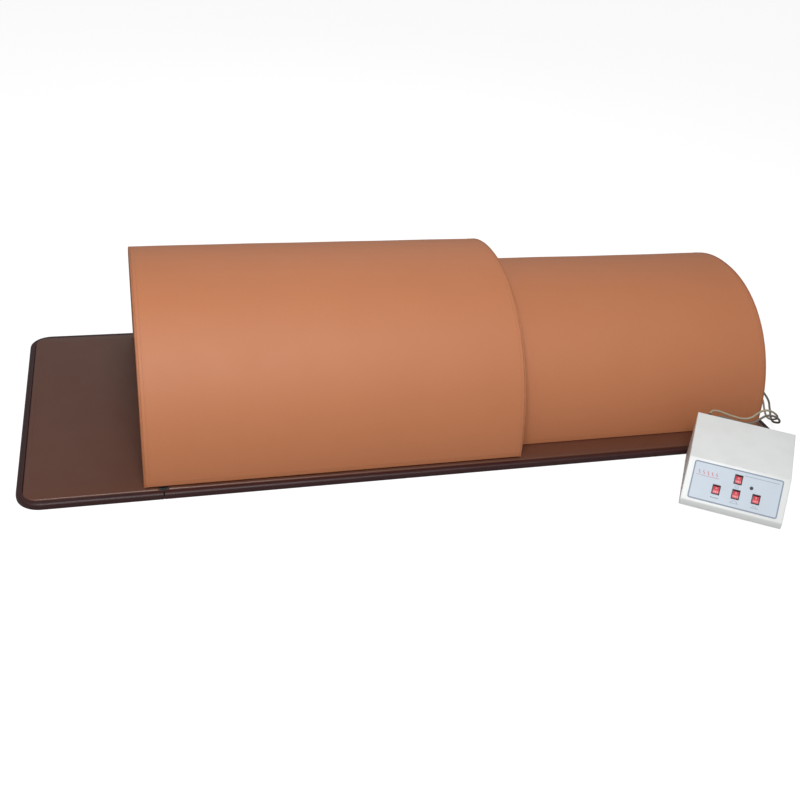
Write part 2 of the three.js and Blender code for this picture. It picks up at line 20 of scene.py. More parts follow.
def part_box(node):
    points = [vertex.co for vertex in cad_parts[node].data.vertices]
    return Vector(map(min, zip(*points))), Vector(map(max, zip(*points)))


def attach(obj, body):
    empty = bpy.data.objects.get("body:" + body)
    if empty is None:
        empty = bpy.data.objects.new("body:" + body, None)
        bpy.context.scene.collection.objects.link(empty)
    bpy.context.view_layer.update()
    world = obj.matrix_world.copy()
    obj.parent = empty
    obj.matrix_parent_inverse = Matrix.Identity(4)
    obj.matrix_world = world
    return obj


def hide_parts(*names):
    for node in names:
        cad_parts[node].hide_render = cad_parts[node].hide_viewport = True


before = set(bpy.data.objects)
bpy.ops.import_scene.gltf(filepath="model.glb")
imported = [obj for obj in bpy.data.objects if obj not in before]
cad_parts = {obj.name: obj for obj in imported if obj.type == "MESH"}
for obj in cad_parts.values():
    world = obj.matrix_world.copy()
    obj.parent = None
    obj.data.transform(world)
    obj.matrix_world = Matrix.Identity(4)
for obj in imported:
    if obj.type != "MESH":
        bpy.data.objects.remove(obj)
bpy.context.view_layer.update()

log = logging.getLogger("sauna")

Colour = tuple[float, float, float, float]
Point = Sequence[float]
Ring = list[Point]

MM = 0.001


def srgb(red: int, green: int, blue: int) -> Colour:
    """Turn a display colour into the linear one that shaders use.

    Args:
        red: display value from 0 to 255.
        green: display value from 0 to 255.
        blue: display value from 0 to 255.

    Returns:
        The linear colour with full alpha.
    """

    def linear(value: int) -> float:
        """One channel, from display to linear."""
        v = value / 255
        return v / 12.92 if v <= 0.04045 else ((v + 0.055) / 1.055) ** 2.4

    return linear(red), linear(green), linear(blue), 1.0


# ---------------------------------------------------------------- shader effects


class Shading:
    """Adds nodes to one shader tree and links them by socket name."""

    def __init__(self, tree: bpy.types.NodeTree) -> None:
        """Work on this tree."""
        self.tree = tree

    def node(self, kind: str, inputs: Optional[dict] = None, **settings) -> bpy.types.Node:
        """Add a node.

        Args:
            kind: the node's Blender type.
            inputs: socket name or number, to a value or to another node's output.
            settings: the node's own properties.

        Returns:
            The new node.
        """
        made = self.tree.nodes.new(kind)
        for key, value in settings.items():
            setattr(made, key, value)
        for key, value in (inputs or {}).items():
            if isinstance(value, bpy.types.NodeSocket):
                self.tree.links.new(value, made.inputs[key])
            else:
                made.inputs[key].default_value = value
        return made

    def math(self, operation: str, first, second=0.0) -> bpy.types.NodeSocket:
        """One arithmetic step on values or sockets, clamping nothing."""
        made = self.node("ShaderNodeMath", {0: first, 1: second}, operation=operation)
        return made.outputs[0]

    def stretch(self, value, low: float, high: float, to_low=0.0, to_high=1.0) -> bpy.types.NodeSocket:
        """Map a range of a value onto another range, clamped."""
        inputs = {"Value": value, "From Min": low, "From Max": high, "To Min": to_low, "To Max": to_high}
        return self.node("ShaderNodeMapRange", inputs).outputs["Result"]

    def mix(self, share, first, second) -> bpy.types.NodeSocket:
        """Blend two colours by a share."""
        made = self.node("ShaderNodeMix", data_type="RGBA")
        for key, value in (("Factor_Float", share), ("A_Color", first), ("B_Color", second)):
            socket = next(s for s in made.inputs if s.identifier == key)
            if isinstance(value, bpy.types.NodeSocket):
                self.tree.links.new(value, socket)
            else:
                socket.default_value = value
        return next(s for s in made.outputs if s.identifier == "Result_Color")

    def scaled(self, size) -> bpy.types.NodeSocket:
        """The place on the piece, in steps of a size."""
        place = self.node("ShaderNodeTexCoord").outputs["Object"]
        steps = self.node("ShaderNodeCombineXYZ", {"X": size, "Y": size, "Z": size}).outputs[0]
        return self.node("ShaderNodeVectorMath", {0: place, 1: steps}, operation="DIVIDE").outputs[0]

    def noise(self, size, detail: float = 2.0) -> bpy.types.NodeSocket:
        """Soft noise with patches of a size."""
        inputs = {"Vector": self.scaled(size), "Scale": 1.0, "Detail": detail}
        return self.node("ShaderNodeTexNoise", inputs).outputs["Fac"]


@dataclass(frozen=True)
class Effect:
    """A shader node group that several materials share.

    Attributes:
        name: the group's name.
        inputs: name and kind of each input, with the value it starts from.
        outputs: name and kind of each output.
        build: fills the group; it gets the tree's Shading and the inputs, and gives the outputs.
    """

    name: str
    inputs: tuple[tuple[str, str, object], ...]
    outputs: tuple[tuple[str, str], ...]
    build: Callable[[Shading, dict], dict]

    def tree(self) -> bpy.types.ShaderNodeTree:
        """The group itself, built the first time that it is asked for."""
        found = bpy.data.node_groups.get(self.name)
        if found is not None:
            return found
        tree = bpy.data.node_groups.new(self.name, "ShaderNodeTree")
        for name, kind, start in self.inputs:
            socket = tree.interface.new_socket(name=name, in_out="INPUT", socket_type=f"NodeSocket{kind}")
            socket.default_value = start
        for name, kind in self.outputs:
            tree.interface.new_socket(name=name, in_out="OUTPUT", socket_type=f"NodeSocket{kind}")
        shading = Shading(tree)
        entry = shading.node("NodeGroupInput")
        given = {name: entry.outputs[name] for name, _, _ in self.inputs}
        shading.node("NodeGroupOutput", self.build(shading, given))
        return tree

    def place(self, shading: Shading, **values) -> bpy.types.Node:
        """Put the group into a material, with values named by its inputs in lower case."""
        made = shading.node("ShaderNodeGroup", node_tree=self.tree())
        for key, value in values.items():
            socket = made.inputs[key.replace("_", " ").capitalize()]
            if isinstance(value, bpy.types.NodeSocket):
                shading.tree.links.new(value, socket)
            else:
                socket.default_value = value
        return made


def _pebble(shading: Shading, given: dict) -> dict:
    """Rounded cells pressed into leatherette, broken up by a finer noise, with a mask of the creases
    between them for painted shade.
    """
    wobble = shading.node(
        "ShaderNodeTexNoise", {"Vector": shading.scaled(given["Cell"]), "Scale": 0.6, "Detail": 1.0}
    ).outputs["Color"]
    shift = shading.node("ShaderNodeVectorMath", {0: wobble, 3: 0.7}, operation="SCALE").outputs[0]
    place = shading.node(
        "ShaderNodeVectorMath", {0: shading.scaled(given["Cell"]), 1: shift}, operation="ADD"
    ).outputs[0]
    cells = shading.node(
        "ShaderNodeTexVoronoi", {"Vector": place, "Scale": 1.0}, feature="DISTANCE_TO_EDGE"
    ).outputs["Distance"]
    crown = shading.stretch(cells, 0.0, 0.28)
    fine = shading.node(
        "ShaderNodeTexNoise", {"Vector": shading.scaled(given["Cell"]), "Scale": 4.0, "Detail": 2.0}
    ).outputs["Fac"]
    height = shading.math("ADD", crown, shading.math("MULTIPLY", fine, 0.35))
    return {"Height": height, "Crease_shade": shading.math("SUBTRACT", 1.0, crown)}


def _drift(shading: Shading, given: dict) -> dict:
    """A colour that wanders slightly lighter and darker in wide soft patches."""
    wide = shading.noise(given["Patch"], 3.0)
    swing = shading.math("MULTIPLY", given["Amount"], shading.math("SUBTRACT", wide, 0.5))
    value = shading.math("ADD", 1.0, swing)
    tint = shading.node("ShaderNodeHueSaturation", {"Value": value, "Color": given["Colour"]})
    return {"Colour": tint.outputs["Color"], "Drift": wide}


def _wear(shading: Shading, given: dict) -> dict:
    """A paler colour where outer edges rub."""
    sharp = shading.node("ShaderNodeNewGeometry").outputs["Pointiness"]
    patchy = shading.noise(0.012, 4.0)
    edge = shading.math("MULTIPLY", shading.stretch(sharp, 0.51, 0.6), shading.stretch(patchy, 0.4, 0.65))
    mask = shading.math("MULTIPLY", edge, given["Amount"])
    return {"Colour": shading.mix(mask, given["Colour"], given["Worn"]), "Mask": mask}


def _dust(shading: Shading, given: dict) -> dict:
    """A thin grey film that settles on what faces up."""
    facing = shading.node("ShaderNodeNewGeometry").outputs["Normal"]
    upward = shading.node("ShaderNodeSeparateXYZ", {0: facing}).outputs["Z"]
    patchy = shading.stretch(shading.noise(0.05, 5.0), 0.42, 0.75)
    settled = shading.math("MULTIPLY", shading.stretch(upward, 0.3, 1.0), patchy)
    mask = shading.math("MULTIPLY", settled, given["Amount"])
    grey = srgb(176, 168, 158)
    return {"Colour": shading.mix(mask, given["Colour"], grey), "Mask": mask}


def _weave(shading: Shading, given: dict) -> dict:
    """Plain weave: threads over and under each other, with a mask of the hollows between them for painted
    shade.
    """
    split = shading.node("ShaderNodeSeparateXYZ", {0: shading.scaled(given["Thread"])})
    along = shading.math("SINE", shading.math("MULTIPLY", split.outputs["X"], math.pi))
    round_arch = shading.math("ADD", split.outputs["Y"], split.outputs["Z"])
    across = shading.math("SINE", shading.math("MULTIPLY", round_arch, math.pi))
    crossing = shading.math("MULTIPLY", along, across)
    height = shading.math("ADD", 0.5, shading.math("MULTIPLY", crossing, 0.5))
    return {"Height": height, "Hollow_shade": shading.math("SUBTRACT", 1.0, height)}


def _polish(shading: Shading, given: dict) -> dict:
    """Roughness that varies a little where hands and cloths have rubbed."""
    rubbed = shading.noise(given["Patch"], 4.0)
    shift = shading.math("MULTIPLY", shading.math("SUBTRACT", rubbed, 0.5), given["Amount"])
    return {"Roughness": shading.math("ADD", given["Roughness"], shift)}


def _texture(shading: Shading, given: dict) -> dict:
    """The fine even tooth of a moulded or powder-coated surface."""
    return {"Height": shading.noise(given["Grain"], 3.0)}


def _fibres(shading: Shading, given: dict) -> dict:
    """Streaks drawn out along one direction, as in sawn timber or brushed metal."""
    place = shading.node("ShaderNodeTexCoord").outputs["Object"]
    drawn = shading.node(
        "ShaderNodeMapping", {"Vector": place, "Scale": (6.0, 260.0, 260.0)}
    ).outputs["Vector"]
    noise = shading.node("ShaderNodeTexNoise", {"Vector": drawn, "Scale": 1.0, "Detail": 4.0})
    streak = noise.outputs["Fac"]
    dark = shading.math("MULTIPLY", shading.stretch(streak, 0.45, 0.65), given["Amount"])
    return {"Colour": shading.mix(dark, given["Colour"], given["Streak"]), "Height": streak}


PEBBLE = Effect(
    "pebble_grain", (("Cell", "Float", 0.0016),), (("Height", "Float"), ("Crease_shade", "Float")), _pebble
)
DRIFT = Effect(
    "colour_drift",
    (("Colour", "Color", (0.5, 0.5, 0.5, 1)), ("Amount", "Float", 0.1), ("Patch", "Float", 0.2)),
    (("Colour", "Color"), ("Drift", "Float")),
    _drift,
)
WEAR = Effect(
    "edge_wear",
    (
        ("Colour", "Color", (0.5, 0.5, 0.5, 1)),
        ("Worn", "Color", (0.8, 0.8, 0.8, 1)),
        ("Amount", "Float", 0.4),
    ),
    (("Colour", "Color"), ("Mask", "Float")),
    _wear,
)
DUST = Effect(
    "settled_dust",
    (("Colour", "Color", (0.5, 0.5, 0.5, 1)), ("Amount", "Float", 0.1)),
    (("Colour", "Color"), ("Mask", "Float")),
    _dust,
)
WEAVE = Effect(
    "plain_weave", (("Thread", "Float", 0.001),), (("Height", "Float"), ("Hollow_shade", "Float")), _weave
)
POLISH = Effect(
    "rubbed_polish",
    (("Roughness", "Float", 0.5), ("Amount", "Float", 0.1), ("Patch", "Float", 0.08)),
    (("Roughness", "Float"),),
    _polish,
)
TEXTURE = Effect("moulded_texture", (("Grain", "Float", 0.0006),), (("Height", "Float"),), _texture)
FIBRES = Effect(
    "drawn_fibres",
    (
        ("Colour", "Color", (0.5, 0.5, 0.5, 1)),
        ("Streak", "Color", (0.3, 0.3, 0.3, 1)),
        ("Amount", "Float", 0.5),
    ),
    (("Colour", "Color"), ("Height", "Float")),
    _fibres,
)


# ---------------------------------------------------------------- finishes


@dataclass(frozen=True)
class Finish:
    """What every finish has: its name, base colour, roughness and a slot name, which is not used."""

    name: str
    slot: str
    colour: Colour
    roughness: float = 0.5

    def material(self) -> bpy.types.Material:
        """The material, built the first time that it is asked for."""
        found = bpy.data.materials.get(self.name)
        if found is not None:
            return found
        made = bpy.data.materials.new(self.name)
        made.use_nodes = True
        made.diffuse_color = self.colour
        shading = Shading(made.node_tree)
        shader = made.node_tree.nodes["Principled BSDF"]
        self.dress(shading, shader)
        return made

    def dress(self, shading: Shading, shader: bpy.types.Node) -> None:
        """Feed the shader. Each kind of finish does this its own way."""
        raise NotImplementedError

    def bump(self, shading: Shading, shader: bpy.types.Node, height, distance: float, strength=1.0) -> None:
        """Raise the surface by a height map, by a real distance."""
        given = {"Height": height, "Distance": distance, "Strength": strength}
        made = shading.node("ShaderNodeBump", given)
        shading.tree.links.new(made.outputs["Normal"], shader.inputs["Normal"])

    def feed(self, shading: Shading, shader: bpy.types.Node, **sockets: bpy.types.NodeSocket) -> None:
        """Link outputs to the shader's sockets, named in lower case."""
        for key, socket in sockets.items():
            name = " ".join(word.capitalize() for word in key.split("_"))
            shading.tree.links.new(socket, shader.inputs[name])


@dataclass(frozen=True)
class Leatherette(Finish):
    """Embossed leatherette on a knitted back: pebbled, slightly soft in sheen."""

    cell: float = 0.0016
    emboss: float = 0.00012
    drift: float = 0.10
    worn: Colour = srgb(210, 150, 118)
    wear: float = 0.25
    dust: float = 0.05
    sheen: float = 0.15
    coat: float = 0.0

    def dress(self, shading: Shading, shader: bpy.types.Node) -> None:
        """Grain, painted shade in its creases, drift, rubbed edges and a little dust."""
        grain = PEBBLE.place(shading, cell=self.cell)
        drift = DRIFT.place(shading, colour=self.colour, amount=self.drift, patch=0.16)
        # Painted shade: the grain's creases are darkened towards 45 % of the base colour, where shade falls
        # between the cells.
        crease = shading.mix(
            shading.math("MULTIPLY", grain.outputs["Crease_shade"], 0.16),
            drift.outputs["Colour"],
            tuple(0.45 * channel for channel in self.colour[:3]) + (1.0,),
        )
        worn = WEAR.place(shading, colour=crease, worn=self.worn, amount=self.wear)
        dusty = DUST.place(shading, colour=worn.outputs["Colour"], amount=self.dust)
        polish = POLISH.place(shading, roughness=self.roughness, amount=0.14, patch=0.07)
        colour, roughness = dusty.outputs["Colour"], polish.outputs["Roughness"]
        self.feed(shading, shader, base_color=colour, roughness=roughness)
        self.bump(shading, shader, grain.outputs["Height"], self.emboss)
        shader.inputs["Sheen Weight"].default_value = self.sheen
        shader.inputs["Sheen Roughness"].default_value = 0.5
        shader.inputs["Coat Weight"].default_value = self.coat
        shader.inputs["Coat Roughness"].default_value = 0.22


@dataclass(frozen=True)
class Moulded(Finish):
    """Moulded plastic or rubber, with a fine tooth and rubbed edges."""

    grain: float = 0.0007
    tooth: float = 0.00003
    wear: float = 0.25
    dust: float = 0.06
    drift: float = 0.04

    def dress(self, shading: Shading, shader: bpy.types.Node) -> None:
        """Tooth, faint drift, pale edges and dust."""
        drift = DRIFT.place(shading, colour=self.colour, amount=self.drift, patch=0.03)
        pale = tuple(min(1.0, 1.4 * channel + 0.03) for channel in self.colour[:3]) + (1.0,)
        worn = WEAR.place(shading, colour=drift.outputs["Colour"], worn=pale, amount=self.wear)
        dusty = DUST.place(shading, colour=worn.outputs["Colour"], amount=self.dust)
        polish = POLISH.place(shading, roughness=self.roughness, amount=0.1, patch=0.02)
        colour, roughness = dusty.outputs["Colour"], polish.outputs["Roughness"]
        self.feed(shading, shader, base_color=colour, roughness=roughness)
        tooth = TEXTURE.place(shading, grain=self.grain)
        self.bump(shading, shader, tooth.outputs["Height"], self.tooth)


@dataclass(frozen=True)
class Painted(Finish):
    """Powder-coated sheet: a slight orange peel, and dust on top."""

    peel: float = 0.0022

    def dress(self, shading: Shading, shader: bpy.types.Node) -> None:
        """Orange peel, a faint drift in tone and dust."""
        drift = DRIFT.place(shading, colour=self.colour, amount=0.03, patch=0.09)
        dusty = DUST.place(shading, colour=drift.outputs["Colour"], amount=0.10)
        polish = POLISH.place(shading, roughness=self.roughness, amount=0.08, patch=0.05)
        colour, roughness = dusty.outputs["Colour"], polish.outputs["Roughness"]
        self.feed(shading, shader, base_color=colour, roughness=roughness)
        tooth = TEXTURE.place(shading, grain=self.peel)
        self.bump(shading, shader, tooth.outputs["Height"], 0.00004)


@dataclass(frozen=True)
class Cloth(Finish):
    """Woven cloth or open foam, by the size of its thread."""

    thread: float = 0.0012
    depth: float = 0.0003
    sheen: float = 0.3

    def dress(self, shading: Shading, shader: bpy.types.Node) -> None:
        """Weave, painted shade in its hollows and a soft drift."""
        weave = WEAVE.place(shading, thread=self.thread)
        drift = DRIFT.place(shading, colour=self.colour, amount=0.14, patch=0.05)
        # Painted shade: the weave's hollows are darkened towards half the base colour, where shade falls
        # between the threads.
        dark = tuple(0.5 * channel for channel in self.colour[:3]) + (1.0,)
        hollow = shading.math("MULTIPLY", weave.outputs["Hollow_shade"], 0.45)
        shade = shading.mix(hollow, drift.outputs["Colour"], dark)
        polish = POLISH.place(shading, roughness=self.roughness, amount=0.06, patch=0.03)
        self.feed(shading, shader, base_color=shade, roughness=polish.outputs["Roughness"])
        self.bump(shading, shader, weave.outputs["Height"], self.depth)
        shader.inputs["Sheen Weight"].default_value = self.sheen


@dataclass(frozen=True)
class Drawn(Finish):
    """Brushed metal or sawn timber, streaked along the piece."""

    streak: Colour = srgb(120, 120, 120)
    amount: float = 0.4
    metallic: float = 0.0
    depth: float = 0.00005

    def dress(self, shading: Shading, shader: bpy.types.Node) -> None:
        """Streaks in colour and in height, with rubbed polish."""
        fibres = FIBRES.place(shading, colour=self.colour, streak=self.streak, amount=self.amount)
        polish = POLISH.place(shading, roughness=self.roughness, amount=0.12, patch=0.04)
        self.feed(
            shading, shader, base_color=fibres.outputs["Colour"], roughness=polish.outputs["Roughness"]
        )
        self.bump(shading, shader, fibres.outputs["Height"], self.depth)
        shader.inputs["Metallic"].default_value = self.metallic


@dataclass(frozen=True)
class Lens(Finish):
    """Tinted clear plastic over an indicator lamp that is off."""

    def dress(self, shading: Shading, shader: bpy.types.Node) -> None:
        """Tint with faint moulding marks, and some light let through."""
        drift = DRIFT.place(shading, colour=self.colour, amount=0.2, patch=0.002)
        self.feed(shading, shader, base_color=drift.outputs["Colour"])
        shader.inputs["Roughness"].default_value = self.roughness
        shader.inputs["Transmission Weight"].default_value = 0.25
        shader.inputs["IOR"].default_value = 1.49


LINEN_WORN = srgb(214, 158, 126)
TAN = Leatherette(
    "tan_leatherette", "tan_leather", srgb(200, 126, 84), 0.54,
    drift=0.06, worn=LINEN_WORN, dust=0.02, sheen=0.04,
)
TAN_EDGE = Leatherette(
    "tan_binding_leatherette", "tan_binding", srgb(182, 112, 73), 0.54,
    worn=LINEN_WORN, dust=0.02, sheen=0.04,
)
BROWN = Leatherette(
    "brown_pad_leatherette", "brown_leather", srgb(98, 57, 40), 0.40,
    worn=srgb(134, 88, 68), sheen=0.02, dust=0.01,
    coat=0.35
)
MAROON = Leatherette(
    "maroon_rim_leatherette", "dark_leather", srgb(54, 21, 22), 0.42,
    worn=srgb(84, 46, 42), sheen=0.02, dust=0.01,
)
THREAD_TAN = Cloth("tan_thread", "tan_binding", srgb(176, 112, 78), 0.7, thread=0.0004, depth=0.00008)
THREAD_BROWN = Cloth("brown_thread", "brown_leather", srgb(88, 52, 40), 0.7, thread=0.0004, depth=0.00008)
LINING = Cloth("woven_lining", "liner", srgb(150, 146, 138), 0.85, thread=0.0011)
BLACK_CLOTH = Cloth("hinge_cloth", "dark_leather", srgb(44, 26, 28), 0.8, thread=0.0009)
FOAM = Cloth("open_foam", "foam", srgb(228, 222, 204), 0.95, thread=0.0021, depth=0.0005, sheen=0.0)
TIE_CLOTH = Cloth("tie_cloth", "black_plastic", srgb(38, 38, 40), 0.8, thread=0.0008)
ALUMINIUM = Drawn(
    "brushed_aluminium", "aluminium", srgb(196, 198, 201), 0.35, streak=srgb(150, 152, 156), metallic=1.0
)
TIMBER = Drawn(
    "sawn_rail_wood", "rail_wood", srgb(186, 148, 98), 0.7,
    streak=srgb(140, 100, 60), amount=0.7, depth=0.0002,
)
WHITE = Painted("white_powder_coat", "white_shell", srgb(233, 236, 235), 0.38)
PALE_BLUE = Painted("label_film", "label", srgb(196, 209, 222), 0.42, peel=0.0012)
SLATE = Painted("label_slate_ink", "label", srgb(138, 147, 166), 0.5, peel=0.0012)
ROSE = Painted("label_rose_ink", "label", srgb(206, 110, 122), 0.5, peel=0.0012)
BLACK = Moulded("black_moulding", "black_plastic", srgb(34, 34, 38), 0.42)
RED = Moulded("red_rocker_plastic", "red_rocker", srgb(222, 76, 90), 0.28, tooth=0.00001, dust=0.02)
WHITE_MARK = Moulded("white_mark_plastic", "red_rocker", srgb(238, 236, 232), 0.4, tooth=0.00001)
RUBBER = Moulded("foot_rubber", "rubber", srgb(34, 33, 32), 0.8, tooth=0.00006)
CORD_BEIGE = Moulded("beige_cord_jacket", "cord", srgb(176, 166, 144), 0.5, grain=0.0012, dust=0.04)
CORD_GREY = Moulded("grey_cord_jacket", "cord", srgb(122, 117, 106), 0.5, grain=0.0012, dust=0.04)
FILM = Moulded("carbon_heating_film", "heating_film", srgb(40, 42, 46), 0.6, grain=0.002)
BOARD = Moulded("circuit_board_resin", "circuit_board", srgb(44, 108, 64), 0.45)
CORE = Drawn("laminated_core", "iron_core", srgb(110, 112, 118), 0.5, streak=srgb(70, 72, 78), metallic=0.7)
STEEL = Drawn(
    "nickel_plate", "aluminium", srgb(190, 188, 182), 0.25, streak=srgb(150, 148, 142), metallic=1.0
)
GREEN = Lens("green_lamp_lens", "green_lens", srgb(52, 92, 62), 0.12)


# ---------------------------------------------------------------- mesh helpers


def smooth(mesh: bpy.types.Mesh, angle: float = 38.0) -> None:
    """Shade a mesh smooth, apart from edges sharper than an angle in degrees."""
    for face in mesh.polygons:
        face.use_smooth = True
    mesh.set_sharp_from_angle(angle=math.radians(angle))


def from_bmesh(name: str, shape: bmesh.types.BMesh, angle: float = 38.0) -> bpy.types.Object:
    """Make an object of a bmesh and free it.

    Args:
        name: the piece's name.
        shape: the bmesh.
        angle: edges sharper than this many degrees stay sharp.

    Returns:
        The object, linked to the scene.
    """
    bmesh.ops.recalc_face_normals(shape, faces=shape.faces)
    mesh = bpy.data.meshes.new(name)
    shape.to_mesh(mesh)
    shape.free()
    smooth(mesh, angle)
    made = bpy.data.objects.new(name, mesh)
    bpy.context.scene.collection.objects.link(made)
    return made


def loft(
    shape: bmesh.types.BMesh, rings: Sequence[Ring], closed: bool = False, capped: bool = True
) -> None:
    """Skin a row of rings that have the same number of points.

    Args:
        shape: the bmesh to add to.
        rings: the rings, each a closed row of points.
        closed: whether the last ring joins the first.
        capped: whether the two end rings get a face each.
    """
    rows = [[shape.verts.new(point) for point in ring] for ring in rings]
    count = len(rows[0])
    last = len(rows) if closed else len(rows) - 1
    for i in range(last):
        here, there = rows[i], rows[(i + 1) % len(rows)]
        for j in range(count):
            k = (j + 1) % count
            shape.faces.new((here[j], here[k], there[k], there[j]))
    if capped and not closed:
        shape.faces.new(rows[0])
        shape.faces.new(list(reversed(rows[-1])))


def lofted(name: str, rings: Sequence[Ring], closed: bool = False, angle: float = 38.0) -> bpy.types.Object:
    """An object made of one loft.

    Args:
        name: the piece's name.
        rings: the rings, each a closed row of points.
        closed: whether the last ring joins the first.
        angle: edges sharper than this many degrees stay sharp.

    Returns:
        The object.
    """
    shape = bmesh.new()
    loft(shape, rings, closed)
    return from_bmesh(name, shape, angle)


def turned(profile: Sequence[tuple[float, float]], sides: int, matrix: Matrix) -> list[Ring]:
    """Rings of a body turned about its own z axis.

    Args:
        profile: radius and height, from one end to the other.
        sides: how many sides the body has.
        matrix: where it stands.

    Returns:
        The rings, ready for a loft.
    """
    rings = []
    for radius, height in profile:
        ring = []
        for i in range(sides):
            turn = math.tau * i / sides
            ring.append(matrix @ Vector((radius * math.cos(turn), radius * math.sin(turn), height)))
        rings.append(ring)
    return rings


def rounded_box(
    shape: bmesh.types.BMesh, low: Point, high: Point, radius: float,
    matrix: Matrix = Matrix(), steps: int = 3,
) -> None:
    """Add a box with rolled edges.

    Args:
        shape: the bmesh to add to.
        low: its lowest corner.
        high: its highest corner.
        radius: of the rolled edges.
        matrix: where it stands.
        steps: facets round each edge.
    """
    low, high = Vector(low), Vector(high)
    made = bmesh.ops.create_cube(shape, size=1.0)["verts"]
    size = high - low
    bmesh.ops.transform(shape, matrix=Matrix.Diagonal(size).to_4x4(), verts=made)
    bmesh.ops.translate(shape, vec=(low + high) / 2, verts=made)
    edges = list({edge for vert in made for edge in vert.link_edges})
    limit = min(radius, 0.49 * min(size))
    rolled = bmesh.ops.bevel(
        shape, geom=edges, offset=limit, segments=steps, profile=0.5, affect="EDGES", clamp_overlap=True
    )
    verts = {v for v in made if v.is_valid} | set(rolled["verts"])
    bmesh.ops.transform(shape, matrix=matrix, verts=list(verts))


def block(
    name: str, low: Point, high: Point, radius: float, matrix: Matrix = Matrix(), steps: int = 3
) -> bpy.types.Object:
    """An object made of one box with rolled edges. The arguments are those of rounded_box."""
    shape = bmesh.new()
    rounded_box(shape, low, high, radius, matrix, steps)
    return from_bmesh(name, shape)


def cut(target: bpy.types.Object, cutters: Sequence[bpy.types.Object], angle: float = 38.0) -> None:
    """Take other objects away from one, and remove them.

    Args:
        target: the object that is cut.
        cutters: what is taken away from it.
        angle: edges sharper than this many degrees stay sharp.
    """
    for cutter in cutters:
        step = target.modifiers.new("cut", "BOOLEAN")
        step.operation = "DIFFERENCE"
        step.solver = "EXACT"
        step.object = cutter
    apply_modifiers(target)
    for cutter in cutters:
        bpy.data.objects.remove(cutter)
    smooth(target.data, angle)


def apply_modifiers(target: bpy.types.Object) -> None:
    """Make an object's evaluated mesh its own, and drop its modifiers."""
    graph = bpy.context.evaluated_depsgraph_get()
    graph.update()
    done = bpy.data.meshes.new_from_object(target.evaluated_get(graph))
    target.modifiers.clear()
    target.data = done


def place(
    obj: bpy.types.Object, finish: Finish, body: str, replaced: Iterable[str] = ()
) -> bpy.types.Object:
    """Dress a piece and let it ride on its body.

    Args:
        obj: the piece, in place.
        finish: what it is made of.
        body: the body that it moves with.
        replaced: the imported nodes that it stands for.

    Returns:
        The same piece.
    """
    obj.data.materials.clear()
    obj.data.materials.append(finish.material())
    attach(obj, body)
    if replaced:
        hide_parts(*replaced)
    log.info("%s: %s, on %s", obj.name, finish.name, body)
    return obj


def dress_node(node: str, finish: Finish) -> None:
    """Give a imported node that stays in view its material."""
    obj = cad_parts[node]
    if not obj.material_slots:
        obj.data.materials.append(finish.material())
    for slot in obj.material_slots:
        slot.material = finish.material()
    log.info("%s: %s, kept from the pack", node, finish.name)


def unit(value: float) -> float:
    """A value held between nought and one."""
    return min(1.0, max(0.0, value))


# ---------------------------------------------------------------- control box place


@dataclass(frozen=True)
class BoxPlace:
    """Where the control box stands, and the frames that its pieces are built in."""

    width: float = 0.244
    depth: float = 0.230
    back: float = 0.140
    crease: float = 0.100
    crease_depth: float = 0.077
    lip: float = 0.020
    wall: float = 0.0025
    foot: float = 0.003

    @property
    def square(self) -> Matrix:
        """The box's own frame: x across it, y towards its back, z up from the floor."""
        middles = {
            place: sum(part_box(f"foot_{place}"), Vector()) / 2
            for place in ("front_left", "front_right", "back_left", "back_right")
        }
        middle = sum(middles.values(), Vector()) / 4
        across = middles["front_right"] - middles["front_left"]
        turn = math.atan2(across.y, across.x)
        return Matrix.Translation((middle.x, middle.y, 0)) @ Matrix.Rotation(turn, 4, "Z")

    @property
    def slope(self) -> float:
        """Angle of the sloping panel to the floor."""
        return math.atan2(self.crease - self.lip, self.crease_depth)

    @property
    def panel(self) -> Matrix:
        """The sloping panel's frame: x across it, y up the slope, z out of it."""
        middle = Vector((0, self.crease_depth / 2 - self.depth / 2, (self.crease + self.lip) / 2))
        return self.square @ Matrix.Translation(middle) @ Matrix.Rotation(self.slope, 4, "X")

    def exit(self, across: float, height: float, out: float = 0.0) -> Matrix:
        """A frame on the back wall whose z axis points straight out of it."""
        at = Matrix.Translation((across, self.depth / 2 + out, height))
        return self.square @ at @ Matrix.Rotation(-math.pi / 2, 4, "X")


# ---------------------------------------------------------------- leads

BOOT_LENGTH = 0.030


def ribbed_boot(
    root: float, tip: float, length: float, ribs: int, flange: float = 0.0
) -> list[tuple[float, float]]:
    """Profile of a tapered strain relief with grooves round it.

    Args:
        root: radius at its thick end.
        tip: radius at its thin end.
        length: from end to end.
        ribs: how many ribs it has.
        flange: radius of the collar at its thick end, or nought.

    Returns:
        Radius and height, from the thick end to the thin one.
    """
    profile = []
    start = 0.0
    if flange > 0:
        start = 0.0045
        profile = [(flange - 0.0004, 0.0), (flange, 0.0005), (flange, 0.0031), (flange - 0.0006, 0.0039)]
    step = (length - start - 0.002) / ribs
    for i in range(ribs):
        near = start + i * step
        radius = root + (tip - root) * (near / length)
        groove = radius - 0.0007
        profile += [
            (radius, near), (radius, near + 0.5 * step),
            (groove, near + 0.62 * step), (groove, near + 0.9 * step),
        ]
    profile += [(tip, length - 0.0015), (tip - 0.0003, length - 0.0004), (tip - 0.0008, length)]
    return profile


